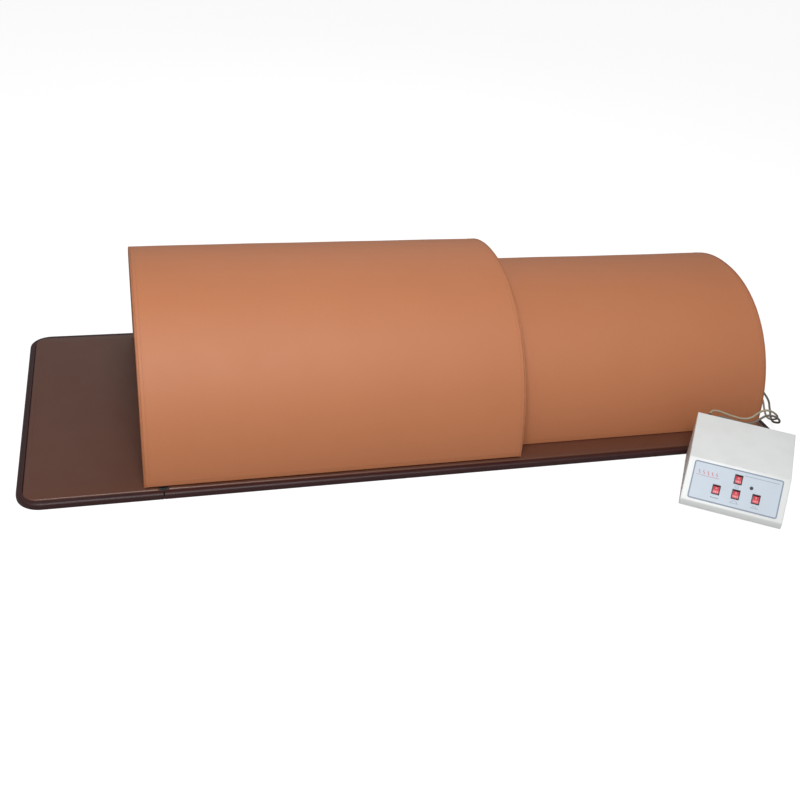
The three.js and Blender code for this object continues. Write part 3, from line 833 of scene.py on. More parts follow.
@dataclass(frozen=True)
class Coil:
    """A flat coil: wound inwards on the floor, then outwards again on top.

    Attributes:
        centre: x and y of its middle, from the mat's near foot corner.
        outer: radius of the outermost turn.
        turns_in: turns of the lower layer.
        turns_out: turns of the upper layer, the climb between them included.
    """

    centre: tuple[float, float]
    outer: float
    turns_in: float
    turns_out: float

    def points(self, diameter: float, floor: float, steps: int = 18) -> Iterator[Vector]:
        """The coil's line, from where the lead runs in to where it runs out.

        Args:
            diameter: of the cord.
            floor: height of the lower layer's line.
            steps: points to a turn.

        Yields:
            Points from the mat's near foot corner.
        """
        climb = 0.25
        inner = self.outer - self.turns_in * diameter
        count = round((self.turns_in + self.turns_out) * steps)
        for i in range(count + 1):
            turns = i / steps
            past = turns - self.turns_in
            lift = unit(past / climb) * diameter
            inward = self.outer - turns * diameter
            radius = inward if past <= 0 else inner + max(0.0, past - climb) * diameter
            angle = math.tau * turns
            across, along = radius * math.cos(angle), radius * math.sin(angle)
            yield Vector((self.centre[0] + across, self.centre[1] + along, floor + lift))

    def tie(self, name: str, corner: Vector, diameter: float, turn: float) -> bpy.types.Object:
        """A cloth strap round all the turns.

        Args:
            name: the piece's name.
            corner: the mat's near foot corner on the floor.
            diameter: of the cord.
            turn: where on the coil the strap goes, in radians.

        Returns:
            The strap.
        """
        thick, half_wide = 0.0009, 0.0045
        near = self.outer - self.turns_in * diameter - diameter / 2 - 0.0004
        far = self.outer + diameter / 2 + 0.0004
        low, high = 0.0002, 2 * diameter + 0.0006
        round_off = 0.0035
        centre = corner + Vector((self.centre[0], self.centre[1], 0))
        out = Vector((math.cos(turn), math.sin(turn), 0))
        along = Vector((-out.y, out.x, 0))
        rings = []
        corners = ((far, low, -0.25), (far, high, 0.0), (near, high, 0.25), (near, low, 0.5))
        for radius, height, start in corners:
            inward = Vector((-1 if radius == far else 1, 1 if height == low else -1))
            for i in range(5):
                angle = math.tau * (start + 0.25 * i / 4)
                spread = Vector((math.cos(angle), math.sin(angle)))
                middle = Vector((radius, height)) + inward * round_off
                inner, outer = middle + spread * round_off, middle + spread * (round_off + thick)
                outer.y = max(outer.y, 0.00012)
                rings.append([
                    centre + out * p.x + Vector((0, 0, p.y)) + along * side
                    for p, side in (
                        (inner, -half_wide), (outer, -half_wide), (outer, half_wide), (inner, half_wide)
                    )
                ])
        return lofted(name, rings, closed=True)


@dataclass(frozen=True)
class Lead:
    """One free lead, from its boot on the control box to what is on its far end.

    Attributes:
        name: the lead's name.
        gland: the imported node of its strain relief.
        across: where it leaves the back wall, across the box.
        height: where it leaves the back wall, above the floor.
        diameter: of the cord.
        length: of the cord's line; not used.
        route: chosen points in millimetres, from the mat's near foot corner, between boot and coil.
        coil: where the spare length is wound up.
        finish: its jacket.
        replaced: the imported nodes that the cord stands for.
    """

    name: str
    gland: str
    across: float
    height: float
    diameter: float
    length: float
    route: tuple[tuple[float, float, float], ...]
    coil: Coil
    far_end: str
    finish: Finish
    replaced: tuple[str, ...]

    def build(self, place_of_box: BoxPlace, corner: Vector, tail: Sequence[Vector], ends: list) -> None:
        """Args:
            place_of_box: where the control box stands.
            corner: the mat's near foot corner on the floor.
            tail: the last points, into the far end's boot.
            ends: the pieces on the far end.
        """
        wall = place_of_box.exit(self.across, self.height)
        radius = self.diameter / 2
        profile = ribbed_boot(radius + 0.0026, radius + 0.001, BOOT_LENGTH, 6, radius + 0.0045)
        boot = lofted(f"{self.name}_boot", turned(profile, 24, wall), angle=50)
        place(boot, BLACK, "mat", [self.gland])

        floor = radius + 0.0001
        start = [wall @ Vector((0, 0, BOOT_LENGTH + past)) for past in (-0.006, 0.001, 0.008)]
        route = [corner + Vector(point) * MM for point in self.route]
        coil = [corner + point for point in self.coil.points(self.diameter, floor)]
        cord = self._curve([*start, *route, *coil, *tail])
        place(cord, self.finish, "mat", self.replaced)

        tie = self.coil.tie(f"{self.name}_tie", corner, self.diameter, turn=math.radians(215))
        place(tie, TIE_CLOTH, "mat")
        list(ends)

    def _curve(self, points: Sequence[Vector]) -> bpy.types.Object:
        """A round cord on a smooth line through points."""
        line = bpy.data.curves.new(f"{self.name}_cord", "CURVE")
        line.dimensions = "3D"
        line.resolution_u = 6
        line.bevel_depth = self.diameter / 2
        line.bevel_resolution = 4
        line.use_fill_caps = True
        spline = line.splines.new("BEZIER")
        spline.bezier_points.add(len(points) - 1)
        for knot, point in zip(spline.bezier_points, points):
            knot.co = point
            knot.handle_left_type = "AUTO"
            knot.handle_right_type = "AUTO"
        made = bpy.data.objects.new(f"{self.name}_cord", line)
        bpy.context.scene.collection.objects.link(made)
        return made


MAINS = Lead(
    name="mains", gland="mains_gland", across=-0.070, height=0.110, diameter=0.006, length=1.81,
    route=(
        (-221, 5, 110), (-203, 1, 107), (-180, -9, 102), (-155, -17, 98), (-128, -15, 98), (-104, -7, 102),
        (-82, 0, 105), (-58, 4, 100), (-34, 10, 86), (-8, 30, 60), (14, 66, 33), (30, 98, 14.5),
        (42, 122, 6.6), (54, 144, 3.8), (66, 164, 3.1), (78, 186, 3.1), (96, 220, 3.1), (109, 270, 3.1),
        (120, 340, 3.1), (127, 400, 3.1), (132, 450, 3.1), (134, 487, 3.1),
    ),
    coil=Coil(centre=(0.092, 0.510), outer=0.042, turns_in=3, turns_out=2),
    far_end="plug", finish=CORD_GREY, replaced=("mains_lead", "mains_coil"),
)
MAT_LEAD = Lead(
    name="mat_lead", gland="mat_lead_gland", across=-0.090, height=0.124, diameter=0.0055, length=1.31,
    route=(
        (-239, 14, 125), (-222, 13, 122), (-203, 8, 116), (-180, 0, 110), (-157, -6, 106), (-134, -6, 107),
        (-112, 2, 112), (-90, 9, 116), (-66, 12, 112), (-42, 15, 98), (-16, 34, 72), (8, 70, 42),
        (24, 106, 18.5), (33, 130, 8.6), (42, 150, 3.75), (51, 168, 2.85), (62, 190, 2.85),
        (80, 225, 2.85), (93, 270, 2.85),
        (106, 320, 2.85), (114, 360, 2.85), (115.5, 389.5, 2.85),
    ),
    coil=Coil(centre=(0.080, 0.410), outer=0.0355, turns_in=2, turns_out=1.25),
    far_end="connector", finish=CORD_BEIGE, replaced=("mat_lead", "mat_coil"),
)


@dataclass
class Leads:
    """Both leads, with the mains plug and the mat's connector."""

    place_of_box: BoxPlace
    pin_length: float = 0.017
    plug_boot: float = 0.017
    connector_boot: float = 0.014

    def build(self) -> None:
        """Make the far ends first, then the leads that run to them."""
        low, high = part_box("body_tray")
        corner = Vector((high.x, low.y, 0))
        plug, plug_tail = self._plug()
        MAINS.build(self.place_of_box, corner, plug_tail, plug)
        connector, connector_tail = self._connector()
        MAT_LEAD.build(self.place_of_box, corner, connector_tail, connector)

    def _plug(self) -> tuple[list, list[Vector]]:
        """The mains plug with its pins, and the cord's last points."""
        low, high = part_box("mains_plug")
        middle = (low + high) / 2
        face = high.y - self.pin_length
        back = low.y + self.plug_boot
        shape = bmesh.new()
        rounded_box(shape, (low.x, back, low.z), (high.x, face, high.z), 0.006, steps=5)
        for side in (-1, 1):
            for i in range(4):
                along = back + 0.008 + i * 0.0055
                edge = middle.x + side * (high.x - middle.x)
                rounded_box(
                    shape,
                    (edge - 0.0012, along, low.z + 0.006),
                    (edge + 0.0004, along + 0.0028, high.z - 0.006),
                    0.0007,
                )
        axis = Matrix.Translation((middle.x, back + 0.001, middle.z)) @ Matrix.Rotation(math.pi / 2, 4, "X")
        profile = ribbed_boot(0.0088, 0.0042, self.plug_boot + 0.001, 4)
        loft(shape, turned(profile, 24, axis))
        body = place(from_bmesh("plug_body", shape, 50), BLACK, "mat", ["mains_plug"])

        shape = bmesh.new()
        for side in (-1, 1):
            across = middle.x + side * 0.00635
            rounded_box(
                shape, (across - 0.0008, face - 0.001, middle.z - 0.0032),
                (across + 0.0008, high.y, middle.z + 0.0032), 0.0007,
            )
        pins = place(from_bmesh("plug_pins", shape), STEEL, "mat")
        tail = [
            Vector((middle.x, low.y - 0.012, middle.z - 0.0008)),
            Vector((middle.x, low.y - 0.002, middle.z)),
            Vector((middle.x, low.y + 0.006, middle.z)),
        ]
        return [body, pins], tail

    def _connector(self) -> tuple[list, list[Vector]]:
        """The mat lead's connector, and the cord's last points."""
        low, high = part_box("mat_lead_connector")
        middle = (low + high) / 2
        front = high.x - self.connector_boot
        shape = bmesh.new()
        rounded_box(shape, low, (front, high.y, high.z), 0.0025, steps=4)
        for side in (-1, 1):
            edge = middle.y + side * (high.y - middle.y)
            for i in range(3):
                along = low.x + 0.006 + i * 0.004
                rounded_box(
                    shape,
                    (along, edge - 0.0008, low.z + 0.003),
                    (along + 0.002, edge + 0.0004, high.z - 0.003),
                    0.0005,
                )
        axis = Matrix.Translation((front - 0.001, middle.y, middle.z))
        axis = axis @ Matrix.Rotation(math.pi / 2, 4, "Y")
        profile = ribbed_boot(0.006, 0.004, self.connector_boot + 0.001, 3)
        loft(shape, turned(profile, 24, axis))
        body = place(from_bmesh("connector_body", shape, 50), BLACK, "mat", ["mat_lead_connector"])
        tail = [
            Vector((high.x + 0.012, middle.y, middle.z)),
            Vector((high.x + 0.002, middle.y, middle.z)),
            Vector((high.x - 0.006, middle.y, middle.z)),
        ]
        return [body], tail


# ---------------------------------------------------------------- mat


@dataclass(frozen=True)
class Outline:
    """A panel of the mat in plan: square at the fold, round at its other end.

    Attributes:
        fold: x of the end at the fold.
        end: x of the round end.
        half: half the width.
        corner: radius of the two round corners.
    """

    fold: float
    end: float
    half: float
    corner: float

    def shrunk(self, inset: float) -> "Outline":
        """The same outline, set in on its three outer sides."""
        way = math.copysign(1, self.end - self.fold)
        return Outline(self.fold, self.end - way * inset, self.half - inset, self.corner - inset)

    def half_at(self, x: float) -> float:
        """Half the width at x, which falls away at the round end."""
        past = self.corner - abs(self.end - x)
        if past <= 0:
            return self.half
        return self.half - self.corner + math.sqrt(max(0.0, self.corner ** 2 - past ** 2))

    def depth(self, x: float, y: float) -> float:
        """How far inside the outline a place is."""
        to_end, to_side = abs(self.end - x), self.half - abs(y)
        if to_end < self.corner and to_side < self.corner:
            return self.corner - math.hypot(self.corner - to_end, self.corner - to_side)
        return min(to_end, to_side, abs(x - self.fold))

    def rim(self, step: float = 0.05) -> Iterator[tuple[Vector, Vector]]:
        """Points along the three outer sides, each with its outward direction.

        Args:
            step: longest stretch between two points on a straight side.

        Yields:
            A point on the floor and the direction that faces out of the panel there.
        """
        way = math.copysign(1, self.end - self.fold)
        turn = self.end - way * self.corner
        straight = max(2, round(abs(turn - self.fold) / step))
        for i in range(straight):
            x = self.fold + (turn - self.fold) * i / straight
            yield Vector((x, -self.half, 0)), Vector((0, -1, 0))
        for side in (-1, 1):
            for i in range(13):
                angle = math.pi / 2 * i / 12
                if side > 0:
                    angle = math.pi / 2 - angle
                out = Vector((way * math.sin(angle), side * math.cos(angle), 0))
                centre = Vector((turn, side * (self.half - self.corner), 0))
                yield centre + out * self.corner, out
        for i in range(1, straight + 1):
            x = turn + (self.fold - turn) * i / straight
            yield Vector((x, self.half, 0)), Vector((0, 1, 0))


@dataclass
class MatPanel:
    """One panel of the mat: a dark rim and board, and the brown pad laid in it."""

    name: str
    round_end: float
    fold: float
    rim_width: float = 0.015
    corner: float = 0.057
    pad_corner: float = 0.032
    roll: float = 0.0055
    swell_room: float = 0.0026
    cap: float = 0.004
    seed: int = 3

    def build(self) -> None:
        """Rim, board, pad and stitches."""
        self._tray()
        self._pad()
        dress_node(f"{self.name}_heating_film", FILM)

    def _tray(self) -> None:
        """The padded rim with the board between its sides."""
        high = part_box(f"{self.name}_tray")[1]
        outline = Outline(self.fold, self.round_end, high.y, self.corner)
        centre = outline.shrunk(self.rim_width / 2)
        half = self.rim_width / 2
        profile = self._rim_profile(half, high.z)
        rings = []
        for point, out in centre.rim():
            rings.append([point + out * across + Vector((0, 0, height)) for across, height in profile])
        shape = bmesh.new()
        loft(shape, rings)
        board = [point for point, _ in outline.shrunk(self.rim_width - 0.002).rim()]
        thick = 0.006
        loft(shape, [[p + Vector((0, 0, level)) for p in board] for level in (0.0008, thick)])
        place(from_bmesh(f"{self.name}_rim", shape), MAROON, "mat", [f"{self.name}_tray"])

    def _rim_profile(self, half: float, top: float) -> list[tuple[float, float]]:
        """Section of the rim: a full roll outside, a small one inside."""
        corners = (
            (half, 0.0, 0.003, -0.25), (half, top, 0.0065, 0.0),
            (-half, top, 0.0035, 0.25), (-half, 0.0, 0.001, 0.5),
        )
        profile = []
        for across, height, roll, start in corners:
            middle = (across - math.copysign(roll, across), height + (roll if height == 0 else -roll))
            for i in range(6):
                angle = math.tau * (start + 0.25 * i / 5)
                profile.append((middle[0] + roll * math.cos(angle), middle[1] + roll * math.sin(angle)))
        return profile

    def _pad(self) -> None:
        """The stuffed pad: swollen by cloth simulation, then stitched round its edge."""
        low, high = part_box(f"{self.name}_pad")
        fold = low.x if self.fold < self.round_end else high.x
        end = high.x if self.fold < self.round_end else low.x
        outline = Outline(fold, end, high.y, self.pad_corner)
        pad = self._stuffing(outline, low.z, high.z - self.swell_room)
        self._swell(pad, outline, high.z - 0.0001)
        place(pad, BROWN, "mat", [f"{self.name}_pad"])

        tree = KDTree(len(pad.data.vertices))
        for vertex in pad.data.vertices:
            if vertex.co.z > (low.z + high.z) / 2:
                tree.insert(vertex.co, vertex.index)
        tree.balance()
        seam = []
        for point, _ in outline.shrunk(0.011).rim(0.02):
            near, _, _ = tree.find(Vector((point.x, point.y, high.z)))
            seam.append(Vector((point.x, point.y, near.z)))
        stitches = stitched(f"{self.name}_stitches", seam, Vector((0, 0, 1)))
        place(stitches, THREAD_BROWN, "mat")

    def _stuffing(self, outline: Outline, low: float, high: float) -> bpy.types.Object:
        """A closed grid in the outline's shape, flat below and rolled over at its edges."""
        way = math.copysign(1, outline.end - outline.fold)
        length = abs(outline.end - outline.fold)
        pitch = 0.012
        near = (0.0, 0.0004, 0.0012, 0.0023, 0.0036, 0.0052, 0.008, 0.012)
        count = round((length - 2 * near[-1] - outline.corner) / pitch)
        first, last = near[-1], length - outline.corner
        runs = [*near[:-1], *(first + (last - first) * i / count for i in range(count + 1))]
        rounded = [outline.corner - v for v in (0.026, 0.020, 0.0145, 0.010, *reversed(near[:-1]))]
        runs += [last + v for v in rounded]
        inner = round(2 * (outline.half - near[-1]) / pitch)
        shares = [(outline.half - v) / outline.half for v in near]
        middle = [shares[-1] * (1 - 2 * j / inner) for j in range(1, inner)]
        shares = [*shares, *middle, *(-v for v in reversed(shares))]
        phase = np.random.default_rng(self.seed).uniform(0, math.tau, 3)
        rings = []
        for run in runs:
            x = outline.fold + way * run
            half = outline.half_at(x)
            top, base = [], []
            for share in shares:
                y = half * share
                depth = max(0.0, outline.depth(x, y))
                edge = unit(depth / self.roll)
                fall = self.roll * (1 - math.sqrt(edge * (2 - edge)))
                soft = 0.0004 * math.sin(9 * x + phase[0]) * math.sin(11 * y + phase[1])
                soft += 0.0003 * math.sin(23 * x + phase[2] + 7 * y)
                top.append(Vector((x, y, high - fall + soft * edge)))
                base.append(Vector((x, y, low + 0.0002)))
            rings.append(top + list(reversed(base)))
        return lofted(f"{self.name}_cushion", rings, angle=70)

    def _swell(self, pad: bpy.types.Object, outline: Outline, ceiling: float) -> None:
        """Let the pad fill out under slight pressure, held at its underside and its edges.

        Args:
            pad: the closed grid.
            outline: its shape in plan.
            ceiling: the height that nothing may pass.
        """
        before = np.array([v.co for v in pad.data.vertices], float)
        held = pad.vertex_groups.new(name="held")
        edge = np.array([outline.depth(x, y) for x, y, _ in before])
        fixed = np.nonzero((before[:, 2] < before[:, 2].min() + 0.001) | (edge < 0.003))[0]
        held.add([int(i) for i in fixed], 1.0, "REPLACE")
        cloth = pad.modifiers.new("cloth", "CLOTH")
        cloth.settings.quality = 4
        cloth.settings.mass = 0.3
        cloth.settings.use_pressure = True
        cloth.settings.uniform_pressure_force = 4.0
        cloth.settings.vertex_group_mass = "held"
        cloth.settings.effector_weights.gravity = 0.0
        cloth.collision_settings.use_collision = False
        scene = bpy.context.scene
        for number in range(1, 21):
            scene.frame_set(number)
        apply_modifiers(pad)
        scene.frame_set(1)
        after = np.array([v.co for v in pad.data.vertices], float)
        moved = after - before
        far = np.linalg.norm(moved, axis=1)
        share = np.minimum(1.0, self.cap / np.maximum(far, 1e-9))
        settled = before + moved * share[:, None]
        settled[:, 2] = np.minimum(settled[:, 2], ceiling)
        for vertex, point in zip(pad.data.vertices, settled):
            vertex.co = point
        log.info("%s swelled by up to %.1f mm", pad.name, 1000 * float((far * share).max()))
        finer = pad.modifiers.new("finer", "SUBSURF")
        finer.levels = 1
        finer.render_levels = 1
        apply_modifiers(pad)
        smooth(pad.data, 70)


def along(line: Sequence[Vector], pitch: float) -> Iterator[tuple[Vector, Vector]]:
    """Even steps along a line, each with its direction.

    Args:
        line: the points to follow.
        pitch: distance between two steps.

    Yields:
        A point and the direction there.
    """
    left = pitch / 2
    for start, end in zip(line, line[1:]):
        stretch = end - start
        length = stretch.length
        if length < 1e-9:
            continue
        way = stretch / length
        while left <= length:
            yield start + way * left, way
            left += pitch
        left -= length


def stitched(
    name: str, line: Sequence[Vector], up: Vector | Sequence[Vector],
    pitch: float = 0.0052, size: float = 0.0034,
) -> bpy.types.Object:
    """A row of stitches lying on a surface.

    Args:
        name: the piece's name.
        line: the seam, on the surface.
        up: the surface's outward direction, one for all or one for each point of the line.
        pitch: from stitch to stitch.
        size: length of each stitch.

    Returns:
        All the stitches as one object.
    """
    shape = bmesh.new()
    thick = 0.0005
    ups = [up] * len(line) if isinstance(up, Vector) else list(up)
    index = 0
    for point, way in along(line, pitch):
        while index + 1 < len(line) and (line[index + 1] - point).length < (line[index] - point).length:
            index += 1
        out = ups[index]
        side = way.cross(out).normalized()
        rings = []
        for share, fat in ((-0.5, 0.35), (-0.3, 0.95), (0.3, 0.95), (0.5, 0.35)):
            middle = point + way * (share * size) + out * (thick * (fat - 0.6))
            rings.append([
                middle + side * (thick * fat * math.cos(turn)) + out * (thick * fat * math.sin(turn))
                for turn in (math.tau * k / 6 for k in range(6))
            ])
        loft(shape, rings)
    return from_bmesh(name, shape, 80)


@dataclass
class Mat:
    """The folding heated mat."""

    def build(self) -> None:
        """Both panels, the hinge between them and the inlet at the foot."""
        head_low, head_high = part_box("head_tray")
        body_low, body_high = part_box("body_tray")
        MatPanel("head", head_low.x, head_high.x, seed=5).build()
        MatPanel("body", body_high.x, body_low.x, seed=8).build()
        dress_node("fold_hinge_strip", BLACK_CLOTH)
        self._gusset()
        self._inlet()

    def _gusset(self) -> None:
        """The dark cloth that dips between the two pads at the fold."""
        _, head_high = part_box("head_pad")
        body_low, body_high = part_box("body_pad")
        half = body_high.y - 0.001
        near, far = head_high.x - 0.001, body_low.x + 0.001
        section = []
        steps = 16
        for i in range(steps + 1):
            share = i / steps
            dip = math.sin(math.pi * share) ** 0.7
            section.append((near + (far - near) * share, body_high.z - 0.006 - 0.005 * dip))
        under = [(x, z - 0.0015) for x, z in reversed(section)]
        rows = 60
        rings = []
        for j in range(rows + 1):
            y = half * (2 * j / rows - 1)
            pucker = 0.0005 * math.sin(j * 1.9) * math.sin(j * 0.7)
            rings.append([Vector((x, y, z + pucker)) for x, z in section + under])
        place(lofted("fold_gusset", rings, angle=60), BLACK_CLOTH, "mat")

    def _inlet(self) -> None:
        """The socket box on the foot end, with its flange and two screws."""
        low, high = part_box("mat_inlet_box")
        shape = bmesh.new()
        rounded_box(shape, low, high, 0.002)
        rounded_box(
            shape,
            (low.x - 0.0002, low.y - 0.003, low.z),
            (low.x + 0.0022, high.y + 0.003, high.z - 0.001), 0.0008,
        )
        place(from_bmesh("mat_inlet_socket", shape), BLACK, "mat", ["mat_inlet_box"])
        middle = (low + high) / 2
        for side in (-1, 1):
            at = Matrix.Translation((middle.x, middle.y + side * 0.018, high.z)) @ Matrix.Scale(0.8, 4)
            name = "mat_inlet_screw_near" if side < 0 else "mat_inlet_screw_far"
            place(screw(name, at), STEEL, "mat")


def screw(name: str, at: Matrix, radius: float = 0.003) -> bpy.types.Object:
    """A pan-head screw with a cross recess, standing on z = 0 of its own frame.

    Args:
        name: the piece's name.
        at: its frame.
        radius: of its head.

    Returns:
        The screw's head.
    """
    dome = [(radius * 0.96, -0.0004), (radius, 0.0), (radius, 0.0006)]
    for i in range(1, 6):
        angle = math.pi / 2 * i / 6
        dome.append((radius * math.cos(angle), 0.0006 + 0.0009 * math.sin(angle)))
    head = lofted(name, turned(dome, 24, at), angle=60)
    arm = radius * 0.62
    bars = [
        block(f"{name}_slot_{i}", (-arm, -0.0004, 0.0007), (arm, 0.0004, 0.003), 0.0001, at @ turn, 1)
        for i, turn in enumerate((Matrix(), Matrix.Rotation(math.pi / 2, 4, "Z")))
    ]
    cut(head, bars, 60)
    return head


# ---------------------------------------------------------------- arched covers


@dataclass(frozen=True)
class Arch:
    """The rounded arch that both covers follow, standing on its two feet.

    Attributes:
        half: half its width.
        height: from its feet to its top.
        bulge: the power of its curve; two is an ellipse, and more is fuller.
        base: height of its feet.
    """

    half: float
    height: float
    bulge: float
    base: float

    def at(self, turn: float, inset: float = 0.0) -> tuple[float, float]:
        """The place on the arch, by a turn from its front foot to its back one, set in by a thickness."""
        y, z, out_y, out_z = self._point(turn)
        return y - inset * out_y, self.base + z - inset * out_z

    def out(self, turn: float) -> Vector:
        """The outward direction at a turn."""
        _, _, out_y, out_z = self._point(turn)
        return Vector((0, out_y, out_z))

    def turn_at(self, height: float) -> float:
        """The turn at which the front side reaches a height above the feet."""
        return math.asin((height / self.height) ** (self.bulge / 2))

    def _point(self, turn: float) -> tuple[float, float, float, float]:
        """Place and outward direction, across and up."""
        c, s = math.cos(turn), math.sin(turn)
        power = 2 / self.bulge
        y = -self.half * math.copysign(abs(c) ** power, c)
        z = self.height * max(0.0, s) ** power
        out_y = math.copysign((abs(y) / self.half) ** (self.bulge - 1) / self.half, y)
        out_z = (z / self.height) ** (self.bulge - 1) / self.height
        length = math.hypot(out_y, out_z)
        return y, z, out_y / length, out_z / length


class Size(Enum):
    """Which of the two covers."""

    LARGE = "large_dome"
    SMALL = "small_dome"


@dataclass
class Cover:
    """One arched cover: leatherette skin over foam and hoops, with bound ends and a quilted lining."""

    size: Size
    bulge: float
    seed: int
    skin: float = 0.0019
    hem_roll: float = 0.0034
    flap: float = 0.016
    steps: int = 150
    panels_along: int = 4
    panels_round: int = 7
    quilt: float = 0.0045

    def __post_init__(self) -> None:
        """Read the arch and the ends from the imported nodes."""
        self.name = self.size.value
        low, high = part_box(f"{self.name}_cover")
        self.arch = Arch(high.y, high.z - low.z, self.bulge, low.z)
        self.start, self.end = low.x, high.x
        self.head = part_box(f"{self.name}_binding_head")[0].x
        self.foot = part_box(f"{self.name}_binding_foot")[1].x
        self.lining_inset = high.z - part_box(f"{self.name}_liner")[1].z
        self.phases = np.random.default_rng(self.seed).uniform(0, math.tau, 8)

    def build(self) -> None:
        """Every piece of the cover."""
        self._skin()
        self._bindings()
        self._seams()
        self._lining()
        self._rails()
        self._socket()
        for place_ in ("head", "middle", "foot"):
            dress_node(f"{self.name}_hoop_{place_}", ALUMINIUM)
        for place_ in ("head", "foot"):
            dress_node(f"{self.name}_heater_{place_}", FILM)
        dress_node(f"{self.name}_insulation", FOAM)

    def _soft(self, x: float, turn: float) -> float:
        """How far the skin strays from the true arch there: foam is never quite even."""
        p = self.phases
        low = unit(math.sin(turn) * 3)
        wave = 0.00045 * math.sin(5.2 * x + p[0] + 1.3 * turn) * math.sin(2.1 * turn + p[1])
        wave += 0.00030 * math.sin(11 * x + p[2]) * math.sin(5 * turn + p[3])
        wave += 0.00016 * math.sin(27 * x + p[4] - 4 * turn)
        return wave * low

    def _tuck(self, x: float) -> float:
        """How far the skin turns in where it meets a binding."""
        roll = 0.0022
        near = min(x - self.start, self.end - x)
        if near >= roll:
            return 0.0
        return roll - math.sqrt(max(0.0, roll * roll - (roll - near) ** 2))

    def _skin(self) -> None:
        """The leatherette: over the arch, round the hem and a short way under."""
        inner = [0.0, 0.0004, 0.0011, 0.0022, 0.006, 0.0105]
        length = self.end - self.start
        middle = [i / 44 for i in range(1, 44)]
        stations = [self.start + v for v in inner]
        stations += [self.start + 0.0105 + (length - 0.021) * share for share in middle]
        stations += [self.end - v for v in reversed(inner)]
        rings = [[Vector((x, y, z)) for y, z in self._skin_section(x)] for x in stations]
        skin = lofted(f"{self.name}_skin", rings, angle=50)
        place(skin, TAN, self.name, [f"{self.name}_cover"])

    def _skin_section(self, x: float) -> list[tuple[float, float]]:
        """Section of the skin, out over the arch and back along its inside."""
        tuck, roll, wall = self._tuck(x), self.hem_roll, self.skin
        arch = self.arch
        first = arch.turn_at(roll)
        turns = [first + (math.pi - 2 * first) * i / self.steps for i in range(self.steps + 1)]
        over = [arch.at(turn, tuck - self._soft(x, turn)) for turn in turns]
        under = [arch.at(turn, wall + tuck) for turn in reversed(turns)]

        def hem(side: int, radius: float) -> list[tuple[float, float]]:
            """Quarter roll from under the foot up to the side."""
            points = []
            for i in range(7):
                angle = math.pi / 2 * i / 6
                in_by = tuck + roll - radius * math.sin(angle)
                points.append((side * (arch.half - in_by), arch.base + roll - radius * math.cos(angle)))
            return points

        tip = arch.half - self.flap
        front = [(-tip, arch.base + wall), (-tip - 0.0006, arch.base), *hem(-1, roll)]
        back = [*reversed(hem(1, roll)), (tip + 0.0006, arch.base), (tip, arch.base + wall)]
        inside_back = hem(1, roll - wall)
        inside_front = list(reversed(hem(-1, roll - wall)))
        return [*front, *over[1:-1], *back, *inside_back, *under[1:-1], *inside_front]

    def _bindings(self) -> None:
        """The leatherette that closes each end, from the skin round to the lining."""
        wall = self.lining_inset + 0.002
        for end, face, inner in (("head", self.head, self.start), ("foot", self.foot, self.end)):
            way = math.copysign(1, face - inner)
            near, far = inner - way * 0.0002, face
            section = []
            rolls = ((far, 0.0, 0.0021, 1), (far, wall, 0.0021, -1))
            section.append((near, 0.0004))
            for x, inset, roll, side in rolls:
                for i in range(6):
                    angle = math.pi / 2 * i / 5
                    if side < 0:
                        angle = math.pi / 2 - angle
                    out = x - way * roll * (1 - math.sin(angle))
                    section.append((out, inset + side * roll * (1 - math.cos(angle))))
                if side > 0:
                    for share in (0.25, 0.5, 0.75):
                        puff = 0.0007 * math.sin(math.pi * share)
                        section.append((far + way * puff, roll + (wall - 2 * roll) * share))
            section.append((near, wall - 0.0004))
            rings = []
            for i in range(self.steps + 1):
                turn = math.pi * i / self.steps
                ring = []
                for x, inset in section:
                    y, z = self.arch.at(turn, inset)
                    ring.append(Vector((x, y, z)))
                rings.append(ring)
            binding = lofted(f"{self.name}_edge_{end}", rings, angle=55)
            place(binding, TAN_EDGE, self.name, [f"{self.name}_binding_{end}"])

    def _seams(self) -> None:
        """Stitch rows beside each end and along each hem."""
        inset, steps = 0.0085, 240
        first, last = self.arch.turn_at(0.012), math.pi - self.arch.turn_at(0.012)
        turns = [first + (last - first) * i / steps for i in range(steps + 1)]
        for end, x in (("head", self.start + inset), ("foot", self.end - inset)):
            line, ups = [], []
            for turn in turns:
                y, z = self.arch.at(turn, -self._soft(x, turn))
                line.append(Vector((x, y, z)))
                ups.append(self.arch.out(turn))
            place(stitched(f"{self.name}_seam_{end}", line, ups), THREAD_TAN, self.name)
        for side, turn in (("front", first), ("back", math.pi - first)):
            y, z = self.arch.at(turn)
            out = self.arch.out(turn)
            line = [
                Vector((self.start + inset + (self.end - self.start - 2 * inset) * i / 60, y, z))
                for i in range(61)
            ]
            place(stitched(f"{self.name}_hem_{side}", line, out), THREAD_TAN, self.name)

    def _lining(self) -> None:
        """The inside: woven lining sewn down in panels over the heaters."""
        length = self.end - self.start
        along_count, round_count = 12 * self.panels_along, 16 * self.panels_round
        rings = []
        for i in range(along_count + 1):
            share = i / along_count
            x = self.start + length * share
            outer, inner = [], []
            for j in range(round_count + 1):
                turn = math.pi * j / round_count
                cell = abs(math.sin(math.pi * share * self.panels_along))
                cell *= abs(math.sin(math.pi * j / round_count * self.panels_round))
                puff = self.quilt * cell ** 0.45
                outer.append(self.arch.at(turn, self.lining_inset))
                inner.append(self.arch.at(turn, self.lining_inset + 0.0012 + puff))
            rings.append([Vector((x, y, z)) for y, z in outer + list(reversed(inner))])
        lining = lofted(f"{self.name}_lining", rings, angle=60)
        place(lining, LINING, self.name, [f"{self.name}_liner"])

